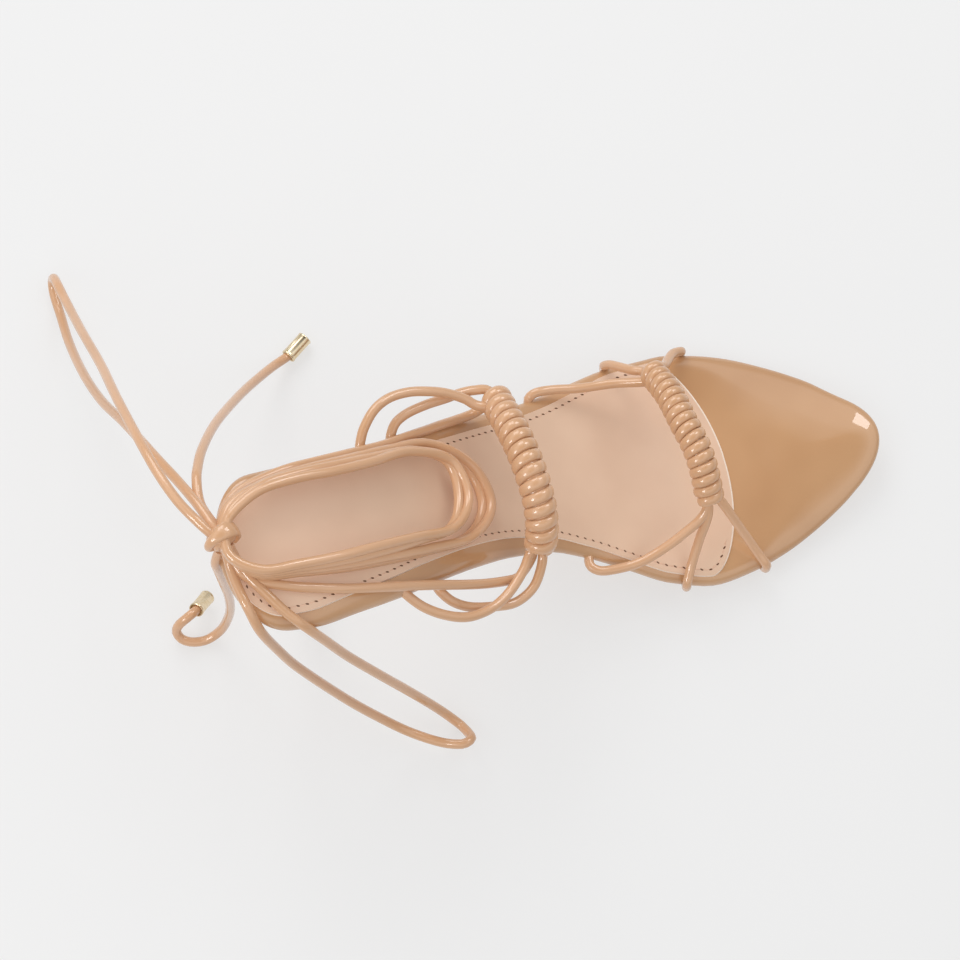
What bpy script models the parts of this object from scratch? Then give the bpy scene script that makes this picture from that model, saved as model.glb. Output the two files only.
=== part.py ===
"""A lace-up stiletto sandal for the left foot, about size EU 38, standing empty on a floor.

Sizes are in millimetres and become metres where a mesh is made. In the design frame x runs from the back
of the heel to the toe, y to the outer (little toe) side and z up from the floor. The last step moves the
whole shoe so that its origin is at the bottom centre of the shoe without its ties.
"""
import math
from collections import namedtuple

import bmesh
import bpy
from mathutils import Vector

# Driving sizes of the sole
SOLE_LENGTH = 228.5
HEEL_ROUND = 16.0
TOE_ROUND = 12.0
FOOTBED_THICK = 6.0
OUTSOLE_THICK = 2.3
OUTSOLE_INSET = 2.6
BREAST_X = 48.0
BREAST_ROUND = 4.0
SOCK_THICK = 0.8
SOCK_FRONT = 177.4
SOCK_FRONT_ROUND = 19.0
TOP_PIECE_HEIGHT = 6.5
HEEL_CENTRE_Y = -0.6
HEEL_SQUARENESS = 2.4

# Driving sizes of the straps
CORD_DIAMETER = 3.3
CORD_RADIUS = CORD_DIAMETER / 2
TIP_DIAMETER = 5.2
TIP_LENGTH = 9.3
KNOT_CENTRE = Vector((0.8, 5.0, 108.3))
KNOT_RADII = Vector((4.1, 4.3, 3.9))

# Fits and mesh density
GAP = 0.3
STATIONS = 36
TUBE_SIDES = 8
COIL_SIDES = 8
COIL_RINGS_PER_TURN = 4
LEG_STEP = 6.0
CORD_STEP = 14.0
CORD_BEND = math.radians(20)
METRES = 0.001

# The sole, section by section: height of the footbed's top, its two edges, and how far the sock stays inside
Section = namedtuple("Section", "x top medial lateral medial_margin lateral_margin")
SECTIONS = [
    Section(0.0, 102.0, -26.0, 25.0, 2.2, 2.2),
    Section(12.0, 99.4, -26.4, 25.4, 3.6, 3.6),
    Section(24.0, 95.5, -27.3, 26.0, 4.6, 4.4),
    Section(38.0, 89.2, -25.2, 26.8, 5.3, 4.8),
    Section(52.0, 80.8, -22.5, 28.6, 5.9, 5.0),
    Section(66.0, 69.9, -18.5, 31.2, 6.2, 5.2),
    Section(80.0, 57.6, -14.7, 34.6, 6.2, 5.3),
    Section(94.0, 45.1, -12.1, 37.8, 5.6, 5.2),
    Section(106.0, 34.9, -11.6, 40.0, 4.3, 5.0),
    Section(118.0, 26.1, -14.9, 43.0, 3.4, 4.7),
    Section(131.0, 18.4, -21.2, 46.7, 2.9, 4.0),
    Section(145.0, 12.2, -28.6, 49.8, 2.6, 2.8),
    Section(162.0, 8.6, -33.0, 50.3, 2.4, 2.3),
    Section(174.0, 8.6, -31.8, 47.6, 2.4, 2.3),
    Section(186.0, 8.6, -28.8, 43.2, 2.4, 2.3),
    Section(198.0, 9.6, -24.2, 36.2, 2.4, 2.3),
    Section(210.0, 11.1, -18.2, 27.4, 2.4, 2.3),
    Section(220.0, 13.1, -12.1, 18.3, 2.4, 2.3),
    Section(SOLE_LENGTH, 15.0, -9.0, 15.0, 2.4, 2.3),
]

# Edge profiles, from the underside round to the top: distance in from the outline, depth below the top
Edge = namedtuple("Edge", "inset depth")
FOOTBED_EDGE = [
    Edge(3.2, FOOTBED_THICK), Edge(1.6, FOOTBED_THICK), Edge(0.5, 5.5), Edge(0.0, 4.4),
    Edge(0.0, 3.0), Edge(0.3, 1.75), Edge(1.0, 0.75), Edge(2.0, 0.2), Edge(3.2, 0.0),
]
OUTSOLE_EDGE = [Edge(0.6, OUTSOLE_THICK), Edge(0.0, 1.8), Edge(0.0, 0.2), Edge(0.3, 0.0)]
SOCK_EDGE = [Edge(0.0, SOCK_THICK), Edge(0.0, 0.25), Edge(0.3, 0.0)]

# The heel from its tip (rise 0) to the seat (rise 1): back and front along the sole, and half its width
HeelLevel = namedtuple("HeelLevel", "rise back front half")
HEEL_LEVELS = [
    HeelLevel(0.00, 20.5, 29.5, 4.2),
    HeelLevel(0.30, 18.8, 30.5, 4.8),
    HeelLevel(0.55, 16.0, 32.0, 6.4),
    HeelLevel(0.75, 11.5, 35.5, 10.0),
    HeelLevel(0.88, 6.8, 41.0, 15.5),
    HeelLevel(0.96, 3.6, 46.5, 20.8),
    HeelLevel(1.00, 2.4, 49.8, 23.2),
]
HEEL_RINGS = 13
HEEL_POINTS = 24

# A wrapped bundle: its middle line over the foot, the outside of the wraps and how many there are
Coil = namedtuple("Coil", "route radius groove turns")
FRONT_COIL = Coil(
    [(157.5, 40.3, 27.0), (160.1, 29.1, 34.0), (161.5, 17.0, 38.0), (163.1, 7.4, 38.5),
     (163.4, -1.3, 36.0), (163.1, -9.3, 31.0)],
    radius=5.1, groove=0.9, turns=16)
INSTEP_COIL = Coil(
    [(101.2, 38.2, 58.0), (102.7, 27.2, 65.0), (103.9, 17.3, 69.0), (104.6, 7.0, 70.5),
     (104.6, -2.3, 68.5), (103.5, -9.9, 64.0), (101.4, -15.3, 57.0)],
    radius=5.6, groove=1.0, turns=15.5)
COIL_TUCK = 6.0

# The cords that leave the coils: which end they leave, where they are lasted and whether they go over the
# rim or come in from outside it, and the free run between
Leg = namedtuple("Leg", "end anchor_x side over_rim run")
FRONT_LEGS = [
    Leg("lateral", 171.6, "lateral", True, [(160.0, 41.4, 26.5), (162.8, 41.8, 23.0), (165.9, 45.2, 17.5)]),
    Leg("lateral", 144.5, "lateral", True, [(154.8, 41.2, 26.0), (152.3, 42.6, 25.0), (149.1, 45.8, 20.0)]),
    Leg("lateral", 114.3, "lateral", False,
        [(152.4, 37.5, 27.5), (143.8, 40.2, 25.0), (132.8, 41.7, 25.0), (124.5, 43.4, 26.6),
         (119.5, 44.2, 27.6), (116.6, 44.4, 27.0)]),
    Leg("medial", 177.6, "medial", True, [(167.7, -12.2, 28.0), (172.5, -21.5, 18.8)]),
    Leg("medial", 149.9, "medial", True, [(161.6, -12.8, 27.4), (156.8, -20.6, 19.0)]),
    Leg("medial", 118.4, "medial", False,
        [(160.8, -12.2, 28.0), (151.7, -16.7, 24.0), (140.8, -20.2, 21.5), (133.5, -21.5, 21.2),
         (125.6, -21.6, 21.8), (120.8, -19.8, 22.4)]),
]
INSTEP_LEGS = [
    Leg("lateral", 53.2, "lateral", False,
        [(94.8, 35.8, 62.0), (91.3, 38.6, 64.0), (85.6, 41.3, 67.5), (79.6, 42.8, 70.5), (73.3, 43.5, 73.2),
         (66.6, 42.6, 75.6), (61.0, 39.6, 77.2), (56.0, 35.0, 77.8)]),
    Leg("lateral", 64.2, "lateral", False,
        [(100.0, 40.1, 60.0), (95.4, 41.5, 60.5), (90.5, 41.5, 61.8), (85.4, 40.7, 63.3), (78.6, 39.8, 65.6),
         (71.7, 38.2, 67.8), (67.0, 35.8, 69.0)]),
    Leg("medial", 53.3, "medial", False,
        [(98.1, -15.4, 56.5), (94.3, -20.3, 56.0), (87.9, -26.3, 57.5), (80.8, -30.4, 60.3),
         (72.6, -32.1, 64.5), (65.4, -30.4, 68.8), (59.0, -27.4, 73.0)]),
    Leg("medial", 64.6, "medial", False,
        [(102.2, -15.9, 55.0), (100.1, -20.8, 53.0), (95.8, -26.2, 52.3), (88.9, -29.5, 53.6),
         (81.2, -29.3, 56.4), (73.7, -28.1, 60.6), (68.6, -25.6, 64.6)]),
]
# A cord that goes over the rim turns round this point of the edge section, then runs into the side wall
TURN_CENTRE = Edge(0.2, 1.0)
TURN_RADIUS = 2.7
WALL_DEPTH = 3.6
WALL_REACH = 2.6
WALL_STANDOFF = 2.2

# The wound ankle tie: long rings in plan, the outer turn lying on the sock and the inner one on top of it
Ring = namedtuple("Ring", "centre_x centre_y half_length half_width lift")
OUTER_TURN = Ring(49.3, 7.0, 42.2, 18.9, 4.0)
INNER_TURN = Ring(45.9, 4.2, 36.9, 13.6, 14.5)
RING_SQUARENESS = 2.6
RING_SLANT = math.radians(4.0)
RING_STATIONS = 44
RING_FRONT_LIFT = 5.0

# Free runs of the ankle tie, each a hand-laid route
FAR_TIE = [
    (100.6, 42.0, 50.6), (99.0, 41.4, 48.4), (95.6, 39.6, 48.2), (91.0, 37.6, 51.8), (85.2, 35.8, 57.0),
    (75.0, 33.2, 65.9), (66.0, 31.0, 73.2)]
NEAR_TIE = [
    (97.4, -16.0, 49.4), (94.6, -17.6, 49.8), (90.5, -20.4, 52.6), (82.4, -22.0, 58.2), (66.4, -21.0, 72.8),
    (52.9, -20.9, 83.6), (42.1, -19.2, 91.4), (34.0, -17.6, 96.2)]
UPPER_LOOP = [
    (-2.2, 8.9, 110.6), (-3.7, 11.8, 111.7), (-7.3, 19.2, 111.4), (-11.0, 30.4, 109.0), (-14.2, 44.9, 101.0),
    (-17.8, 64.3, 84.0), (-20.5, 82.7, 63.0), (-24.3, 102.1, 41.0), (-26.8, 116.1, 25.0),
    (-28.3, 124.5, 18.0), (-29.3, 130.3, 14.5), (-30.0, 134.3, 9.8), (-30.8, 135.6, 5.4),
    (-31.5, 134.2, 2.8), (-31.8, 130.4, 2.2), (-31.5, 123.2, 3.0), (-30.7, 109.2, 12.0),
    (-27.9, 90.8, 32.0), (-23.8, 74.5, 52.0), (-18.5, 60.9, 70.0), (-14.4, 49.8, 83.0),
    (-10.4, 39.3, 92.5), (-5.8, 28.5, 99.5), (-1.8, 18.0, 106.6), (0.3, 11.6, 109.2)]
LOWER_LOOP = [
    (0.8, 0.4, 106.9), (1.2, -4.0, 106.2), (2.1, -10.4, 105.4), (4.0, -17.8, 104.2), (6.5, -25.4, 96.8),
    (10.3, -29.2, 80.0), (15.2, -32.7, 62.0), (27.3, -40.8, 32.0), (37.2, -47.4, 15.0), (45.7, -53.5, 7.6),
    (54.5, -59.4, 7.2), (60.6, -62.1, 8.4), (63.3, -62.0, 8.4), (64.8, -60.9, 7.0), (64.6, -59.0, 4.8),
    (63.5, -56.2, 2.8), (61.9, -53.6, 2.4), (56.6, -48.4, 9.0), (48.1, -43.1, 27.0), (39.5, -38.8, 48.0),
    (31.3, -34.6, 68.0), (25.6, -32.1, 87.0), (21.4, -28.8, 98.0), (15.0, -19.8, 104.4), (8.7, -11.8, 107.7),
    (4.7, -4.4, 109.4), (3.3, 0.1, 109.7)]
UPPER_TAIL = [
    (2.0, 10.2, 105.2), (0.4, 13.6, 103.6), (-0.8, 17.9, 102.4), (-0.8, 22.1, 101.4), (-0.1, 26.6, 100.0),
    (1.0, 31.1, 96.5), (4.2, 40.4, 85.0), (10.7, 53.9, 62.5), (20.6, 68.9, 33.5), (28.7, 78.1, 16.0),
    (34.8, 83.2, 7.6), (38.0, 84.8, 4.5), (39.6, 85.6, 3.7)]
LOWER_TAIL = [
    (-3.4, 1.6, 104.2), (-3.2, 0.6, 101.6), (-2.4, -0.1, 97.6), (-2.1, -0.5, 91.0), (-1.2, -0.4, 72.0),
    (-0.6, 0.0, 50.0), (-1.4, 0.1, 29.0), (-3.6, -0.2, 14.0), (-7.1, -1.3, 5.0), (-12.1, -2.4, 2.1),
    (-16.8, -1.9, 1.9), (-20.3, 0.0, 2.1), (-21.5, 2.6, 4.2), (-20.1, 3.9, 7.5), (-17.7, 4.7, 9.8),
    (-15.6, 5.4, 10.5), (-14.0, 6.1, 9.9)]
UPPER_TIP = ((40.7, 86.3, 3.4), (8.0, 5.4, -0.6))
LOWER_TIP = ((-13.1, 7.0, 8.7), (4.9, 4.9, -6.3))


def along(table, x, column):
    """One column of a table at x: a smooth curve through the rows that never overshoots them."""
    keys = [row[0] for row in table]
    values = [getattr(row, column) for row in table]
    x = min(max(x, keys[0]), keys[-1])
    slopes = [(values[i + 1] - values[i]) / (keys[i + 1] - keys[i]) for i in range(len(keys) - 1)]
    tangents = [slopes[0]]
    for before, after in zip(slopes, slopes[1:]):
        tangents.append(2 * before * after / (before + after) if before * after > 0 else 0.0)
    tangents.append(slopes[-1])
    i = next(i for i in range(len(slopes)) if x <= keys[i + 1])
    step = keys[i + 1] - keys[i]
    t = (x - keys[i]) / step
    return ((1 + 2 * t) * (1 - t) ** 2 * values[i] + t * (1 - t) ** 2 * step * tangents[i]
            + t * t * (3 - 2 * t) * values[i + 1] - t * t * (1 - t) * step * tangents[i + 1])


def top_height(x):
    """Height of the footbed's top surface."""
    return along(SECTIONS, x, "top")


def closing(distance, rounding):
    """How much of the width is left at a distance from a rounded end."""
    if distance >= rounding:
        return 1.0
    return math.sqrt(max(0.0, 1 - ((rounding - distance) / rounding) ** 2))


def outline(start=0.0, end=SOLE_LENGTH, start_round=HEEL_ROUND, end_round=TOE_ROUND):
    """Closed plan outline: from the back along the medial edge to the front, and home on the lateral edge."""
    medial = []
    lateral = []
    for i in range(STATIONS + 1):
        x = start + (end - start) * (1 - math.cos(math.pi * i / STATIONS)) / 2
        low = along(SECTIONS, x, "medial")
        high = along(SECTIONS, x, "lateral")
        left = closing(x - start, start_round) * closing(end - x, end_round)
        middle = (low + high) / 2
        medial.append((x, middle - (high - low) / 2 * left))
        lateral.append((x, middle + (high - low) / 2 * left))
    return [Vector(p) for p in medial + lateral[-2:0:-1]]


def inward(loop, i):
    """Unit normal that points into a counter-clockwise plan outline."""
    tangent = loop[(i + 1) % len(loop)] - loop[i - 1]
    return Vector((-tangent.y, tangent.x)).normalized()


def inset_loop(loop, distances):
    """The outline moved inwards, by one distance for each of its points."""
    return [p + inward(loop, i) * distances[i] for i, p in enumerate(loop)]


def sole_layer(loop, edge, drop):
    """Rings of a layer that follows the sole's curve: its edge profile, a drop below the footbed's top."""
    rings = []
    for inset, depth in edge:
        ring = inset_loop(loop, [inset] * len(loop))
        rings.append([Vector((p.x, p.y, top_height(p.x) - drop - depth)) for p in ring])
    return rings


def ellipse_ring(back, front, half, points):
    """Plan ring of a heel level, from its back round the medial side, squarer than an ellipse."""
    power = 2 / HEEL_SQUARENESS
    ring = []
    for i in range(points):
        angle = 2 * math.pi * i / points
        c = math.cos(angle)
        s = math.sin(angle)
        x = (back + front) / 2 - (front - back) / 2 * math.copysign(abs(c) ** power, c)
        y = HEEL_CENTRE_Y - half * math.copysign(abs(s) ** power, s)
        ring.append((x, y))
    return ring


def heel_rings():
    """Rings of the heel, from the tip up to the curved underside of the seat."""
    tip = TOP_PIECE_HEIGHT + GAP
    rings = []
    for k in range(HEEL_RINGS):
        rise = 1 - (1 - k / (HEEL_RINGS - 1)) ** 1.6
        back, front, half = (along(HEEL_LEVELS, rise, name) for name in ("back", "front", "half"))
        ring = []
        for x, y in ellipse_ring(back, front, half, HEEL_POINTS):
            seat = top_height(x) - FOOTBED_THICK - GAP
            ring.append(Vector((x, y, tip + rise * (seat - tip))))
        rings.append(ring)
    return rings


def top_piece_rings():
    """Rings of the small tip under the heel, with a softened lower edge."""
    level = HEEL_LEVELS[0]
    rings = []
    for shrink, z in ((0.5, 0.0), (0.0, 0.6), (0.0, TOP_PIECE_HEIGHT)):
        ring = ellipse_ring(level.back + shrink, level.front - shrink, level.half - shrink, HEEL_POINTS)
        rings.append([Vector((x, y, z)) for x, y in ring])
    return rings


def fine_curve(points):
    """Points about a millimetre apart on a smooth curve through a route's own points."""
    points = [Vector(p) for p in points]
    padded = [2 * points[0] - points[1]] + points + [2 * points[-1] - points[-2]]
    fine = [points[0]]
    for a, b, c, d in zip(padded, padded[1:], padded[2:], padded[3:]):
        parts = max(2, round((c - b).length))
        for k in range(1, parts + 1):
            t = k / parts
            fine.append(0.5 * (2 * b + (c - a) * t + (2 * a - 5 * b + 4 * c - d) * t ** 2
                               + (3 * b - a - 3 * c + d) * t ** 3))
    return fine


def even_route(points, step):
    """A smooth route cut into equal steps."""
    fine = fine_curve(points)
    lengths = [0.0]
    for a, b in zip(fine, fine[1:]):
        lengths.append(lengths[-1] + (b - a).length)
    count = max(2, round(lengths[-1] / step))
    route = []
    i = 0
    for k in range(count + 1):
        distance = lengths[-1] * k / count
        while i < len(fine) - 2 and lengths[i + 1] < distance:
            i += 1
        route.append(fine[i].lerp(fine[i + 1], (distance - lengths[i]) / (lengths[i + 1] - lengths[i])))
    return route


def bent_route(points):
    """A smooth route with long steps where it is straight and short ones where it bends."""
    fine = even_route(points, 1.0)
    route = [fine[0]]
    heading = fine[1] - fine[0]
    for here, after in zip(fine[1:], fine[2:]):
        ahead = after - here
        walked = (here - route[-1]).length
        if walked >= CORD_STEP or (ahead.angle(heading) > CORD_BEND and walked >= CORD_RADIUS):
            route.append(here)
            heading = ahead
    if (fine[-1] - route[-1]).length < CORD_RADIUS:
        route.pop()
    return route + [fine[-1]]


def frames(points):
    """A side and an up direction at each point of a line, carried along it without twist."""
    result = []
    side = None
    for i, p in enumerate(points):
        tangent = (points[min(i + 1, len(points) - 1)] - points[max(i - 1, 0)]).normalized()
        if side is None:
            side = tangent.orthogonal().normalized()
        side = (side - tangent * side.dot(tangent)).normalized()
        result.append((side, tangent.cross(side)))
    return result


def tube_rings(points, radius, sides):
    """Rings of a tube along a line. The radius is a function of the point's number and the angle."""
    rings = []
    for i, (p, (side, up)) in enumerate(zip(points, frames(points))):
        angles = [2 * math.pi * k / sides for k in range(sides)]
        rings.append([p + (side * math.cos(a) + up * math.sin(a)) * radius(i, a) for a in angles])
    return rings


def coil_rings(coil):
    """Rings of a wrapped bundle: a tube with a spiral groove between the wraps and softened ends."""
    rings_in_all = int(coil.turns * COIL_RINGS_PER_TURN)
    length = sum((Vector(b) - Vector(a)).length for a, b in zip(coil.route, coil.route[1:]))
    points = even_route(coil.route, length / rings_in_all)

    def radius(i, angle):
        phase = 2 * math.pi * i / COIL_RINGS_PER_TURN - angle
        end = 0.6 if i in (0, len(points) - 1) else 0.0
        return coil.radius - end - coil.groove * (0.5 - 0.5 * math.cos(phase))

    return tube_rings(points, radius, COIL_SIDES)


def edge_point(x, side):
    """The footbed's edge at x in plan, and the direction that points out of it."""
    step = 0.5
    here = Vector((x, along(SECTIONS, x, side)))
    ahead = Vector((x + step, along(SECTIONS, x + step, side))) - here
    out = Vector((-ahead.y, ahead.x)).normalized()
    return here, out if side == "lateral" else -out


def at_edge(leg, inset, depth):
    """A point of the edge section where a leg is lasted."""
    here, out = edge_point(leg.anchor_x, leg.side)
    plan = here - out * inset
    return Vector((plan.x, plan.y, top_height(leg.anchor_x) - depth))


def tuck_points(leg):
    """The end of a leg: round the rim or in from outside it, and into the side wall."""
    inside = at_edge(leg, WALL_REACH, WALL_DEPTH)
    if not leg.over_rim:
        return [at_edge(leg, -WALL_STANDOFF, WALL_DEPTH - 0.6), inside]
    turn = []
    for degrees in (100, 60, 20, -20, -60):
        angle = math.radians(degrees)
        turn.append(at_edge(leg, TURN_CENTRE.inset - TURN_RADIUS * math.cos(angle),
                            TURN_CENTRE.depth - TURN_RADIUS * math.sin(angle)))
    return turn + [inside]


def leg_route(leg, coil):
    """A leg from inside the end of its coil to inside the footbed's wall."""
    line = even_route(coil.route, 1.0)
    start = line[int(COIL_TUCK)] if leg.end == "lateral" else line[-1 - int(COIL_TUCK)]
    return even_route([start] + leg.run, LEG_STEP)[:-1] + even_route([leg.run[-1]] + tuck_points(leg), 2.4)


def ring_turn(turn, angle, front_lift):
    """A point of one turn of the wound tie. Over the front of the ring the turns lie side by side."""
    power = 2 / RING_SQUARENESS
    c = math.cos(angle)
    s = math.sin(angle)
    x = turn.half_length * math.copysign(abs(c) ** power, c)
    y = turn.half_width * math.copysign(abs(s) ** power, s)
    plan_x = turn.centre_x + x * math.cos(RING_SLANT) - y * math.sin(RING_SLANT)
    plan_y = turn.centre_y + x * math.sin(RING_SLANT) + y * math.cos(RING_SLANT)
    front = min(1.0, max(0.0, (c - 0.35) / 0.55))
    front = front * front * (3 - 2 * front)
    lift = turn.lift + (front_lift - turn.lift) * front
    return Vector((plan_x, plan_y, top_height(plan_x) + lift))


def ankle_rings():
    """Rings of the wound tie: a rounded strip from the outer turn up to the inner turn."""
    angles = [2 * math.pi * k / RING_STATIONS for k in range(RING_STATIONS)]
    outer = [ring_turn(OUTER_TURN, a, OUTER_TURN.lift) for a in angles]
    inner = [ring_turn(INNER_TURN, a, RING_FRONT_LIFT) for a in angles]
    rings = []
    for i in range(RING_STATIONS):
        following = (i + 1) % RING_STATIONS
        tangent = (outer[following] - outer[i - 1] + inner[following] - inner[i - 1]).normalized()
        rise = inner[i] - outer[i]
        rise = (rise - tangent * rise.dot(tangent)).normalized()
        across = tangent.cross(rise)
        ring = []
        for centre, sign in ((outer[i], -1), (inner[i], 1)):
            for degrees in (-90, -45, 0, 45, 90):
                a = math.radians(degrees)
                ring.append(centre + (rise * math.cos(a) + across * math.sin(a)) * CORD_RADIUS * sign)
        rings.append(ring)
    return rings


def tip_rings(place):
    """Rings of a metal tip: a short turned tube end with rounded edges and a shallow dimple in its face."""
    start = Vector(place[0])
    direction = Vector(place[1]).normalized()
    radius = TIP_DIAMETER / 2
    profile = [(0.0, radius - 0.4), (0.4, radius), (TIP_LENGTH - 0.4, radius), (TIP_LENGTH, radius - 0.4),
               (TIP_LENGTH, radius - 0.9), (TIP_LENGTH - 0.8, radius - 1.1)]
    side = direction.orthogonal().normalized()
    up = direction.cross(side)
    rings = []
    for distance, r in profile:
        ring = []
        for k in range(12):
            a = 2 * math.pi * k / 12
            ring.append(start + direction * distance + (side * math.cos(a) + up * math.sin(a)) * r)
        rings.append(ring)
    return rings


def material(name, colour, roughness, metallic=0.0):
    """A plain finish for one piece."""
    made = bpy.data.materials.new(name)
    made.use_nodes = True
    shader = made.node_tree.nodes["Principled BSDF"]
    shader.inputs["Base Color"].default_value = (*colour, 1.0)
    shader.inputs["Roughness"].default_value = roughness
    shader.inputs["Metallic"].default_value = metallic
    return made


def cap(bm, ring):
    """Close a ring with a strip between the points that face each other across it."""
    count = len(ring)
    for i in range(count // 2):
        corners = []
        for k in (i, i + 1, count - i - 1, (count - i) % count):
            if ring[k] not in corners:
                corners.append(ring[k])
        bm.faces.new(corners)


def mesh_object(name, rings, finish, closed=False):
    """An object from rings of points. A closed row of rings meets its own start, any other is capped."""
    bm = bmesh.new()
    rows = [[bm.verts.new(p * METRES) for p in ring] for ring in rings]
    pairs = list(zip(rows, rows[1:]))
    if closed:
        pairs.append((rows[-1], rows[0]))
    for lower, upper in pairs:
        for i in range(len(lower)):
            bm.faces.new((lower[i - 1], lower[i], upper[i], upper[i - 1]))
    if not closed:
        cap(bm, rows[0])
        cap(bm, rows[-1])
    bmesh.ops.triangulate(bm, faces=bm.faces)
    bmesh.ops.recalc_face_normals(bm, faces=bm.faces)
    mesh = bpy.data.meshes.new(name)
    bm.to_mesh(mesh)
    bm.free()
    mesh.shade_smooth()
    mesh.set_sharp_from_angle(angle=math.radians(50))
    mesh.materials.append(finish)
    made = bpy.data.objects.new(name, mesh)
    bpy.context.scene.collection.objects.link(made)
    return made


def boolean(target, tool, operation):
    """Join a hidden tool to an object, or cut the object with it."""
    tool.hide_render = True
    tool.display_type = "WIRE"
    modifier = target.modifiers.new(tool.name, "BOOLEAN")
    modifier.operation = operation
    modifier.object = tool


def cord_object(name, route, finish):
    """A free cord: a round tube along a smooth curve through its route."""
    curve = bpy.data.curves.new(name, "CURVE")
    curve.dimensions = "3D"
    curve.bevel_depth = CORD_RADIUS * METRES
    curve.bevel_resolution = 2
    curve.use_fill_caps = True
    points = bent_route(route)
    spline = curve.splines.new("POLY")
    spline.points.add(len(points) - 1)
    for spot, p in zip(spline.points, points):
        spot.co = (*(p * METRES), 1.0)
    curve.materials.append(finish)
    made = bpy.data.objects.new(name, curve)
    bpy.context.scene.collection.objects.link(made)
    return made


def knot_object(finish):
    """The knot of the bow, a small rounded lump."""
    bm = bmesh.new()
    bmesh.ops.create_uvsphere(bm, u_segments=14, v_segments=9, radius=1.0)
    for vertex in bm.verts:
        vertex.co = (KNOT_CENTRE + vertex.co * KNOT_RADII) * METRES
    mesh = bpy.data.meshes.new("bow_knot")
    bm.to_mesh(mesh)
    bm.free()
    mesh.shade_smooth()
    mesh.materials.append(finish)
    made = bpy.data.objects.new("bow_knot", mesh)
    bpy.context.scene.collection.objects.link(made)
    return made


def band(name, coil, legs, footbed, finish):
    """A strap of the upper: its coil joined with its legs, and a socket cut in the footbed for each leg."""
    strap = mesh_object(name, coil_rings(coil), finish)
    tools = []
    for number, leg in enumerate(legs):
        route = leg_route(leg, coil)
        cord_rings = tube_rings(route, lambda i, a: CORD_RADIUS, TUBE_SIDES)
        cord = mesh_object(f"{name}_leg_{number}", cord_rings, finish)
        boolean(strap, cord, "UNION")
        seat = route[-7:] + [route[-1] + (route[-1] - route[-2]).normalized() * GAP]
        socket_rings = tube_rings(seat, lambda i, a: CORD_RADIUS + GAP, TUBE_SIDES)
        socket = mesh_object(f"{name}_socket_{number}", socket_rings, finish)
        boolean(footbed, socket, "DIFFERENCE")
        tools += [cord, socket]
    return strap, tools


def build():
    """Make every piece and hang it on one empty whose place puts the origin under the shoe."""
    for old in list(bpy.data.objects):
        bpy.data.objects.remove(old)
    patent = material("patent_leather", (0.60, 0.37, 0.20), 0.12)
    satin = material("satin_sock", (0.72, 0.48, 0.35), 0.42)
    cord_skin = material("patent_cord", (0.66, 0.41, 0.24), 0.20)
    leather = material("sole_leather", (0.55, 0.38, 0.25), 0.55)
    plastic = material("top_piece_plastic", (0.35, 0.22, 0.13), 0.50)
    gold = material("pale_gold", (0.80, 0.66, 0.42), 0.25, 1.0)

    sole = outline()
    footbed = mesh_object("footbed", sole_layer(sole, FOOTBED_EDGE, 0.0), patent)
    tread = inset_loop(outline(start=BREAST_X, start_round=BREAST_ROUND), [OUTSOLE_INSET] * len(sole))
    outsole = mesh_object("outsole", sole_layer(tread, OUTSOLE_EDGE, FOOTBED_THICK + GAP), leather)
    sock_plan = outline(end=SOCK_FRONT, end_round=SOCK_FRONT_ROUND)
    margins = [along(SECTIONS, p.x, "medial_margin" if i <= STATIONS else "lateral_margin")
               for i, p in enumerate(sock_plan)]
    sock_loop = inset_loop(sock_plan, margins)
    sock = mesh_object("sock_lining", sole_layer(sock_loop, SOCK_EDGE, -GAP - SOCK_THICK), satin)
    heel = mesh_object("heel", heel_rings(), patent)
    top_piece = mesh_object("top_piece", top_piece_rings(), plastic)
    front_band, front_tools = band("front_band", FRONT_COIL, FRONT_LEGS, footbed, cord_skin)
    instep_band, instep_tools = band("instep_band", INSTEP_COIL, INSTEP_LEGS, footbed, cord_skin)
    shoe = [footbed, outsole, sock, heel, top_piece, front_band, instep_band]

    ties = [mesh_object("ankle_coil", ankle_rings(), cord_skin, closed=True), knot_object(cord_skin)]
    for name, route in (("far_tie", FAR_TIE), ("near_tie", NEAR_TIE), ("upper_loop", UPPER_LOOP),
                        ("lower_loop", LOWER_LOOP), ("upper_tail", UPPER_TAIL), ("lower_tail", LOWER_TAIL)):
        ties.append(cord_object(name, route, cord_skin))
    for name, place in (("upper_tip", UPPER_TIP), ("lower_tip", LOWER_TIP)):
        ties.append(mesh_object(name, tip_rings(place), gold))

    depsgraph = bpy.context.evaluated_depsgraph_get()
    corners = [v.co for piece in shoe for v in piece.evaluated_get(depsgraph).data.vertices]
    middle = [(min(p[axis] for p in corners) + max(p[axis] for p in corners)) / 2 for axis in (0, 1)]
    root = bpy.data.objects.new("stiletto_sandal", None)
    bpy.context.scene.collection.objects.link(root)
    root.location = (-middle[0], -middle[1], 0.0)
    for piece in shoe + ties + front_tools + instep_tools:
        piece.parent = root


build()
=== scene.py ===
# %% [markdown]
# # A lace-up stiletto sandal in nude patent leather
# The sandal is a pointed sole on a slim heel, two straps of wrapped cord, and one long cord that is
# wound over the heel seat and tied in a bow. The solid frame gives every piece its place. This script
# gives each piece its finished shape and surface, then sets up the floor, the light and the camera.

# %% Load the frame
import math
from collections import namedtuple

import bmesh
import bpy
from mathutils import Matrix, Vector
from mathutils.kdtree import KDTree


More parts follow.
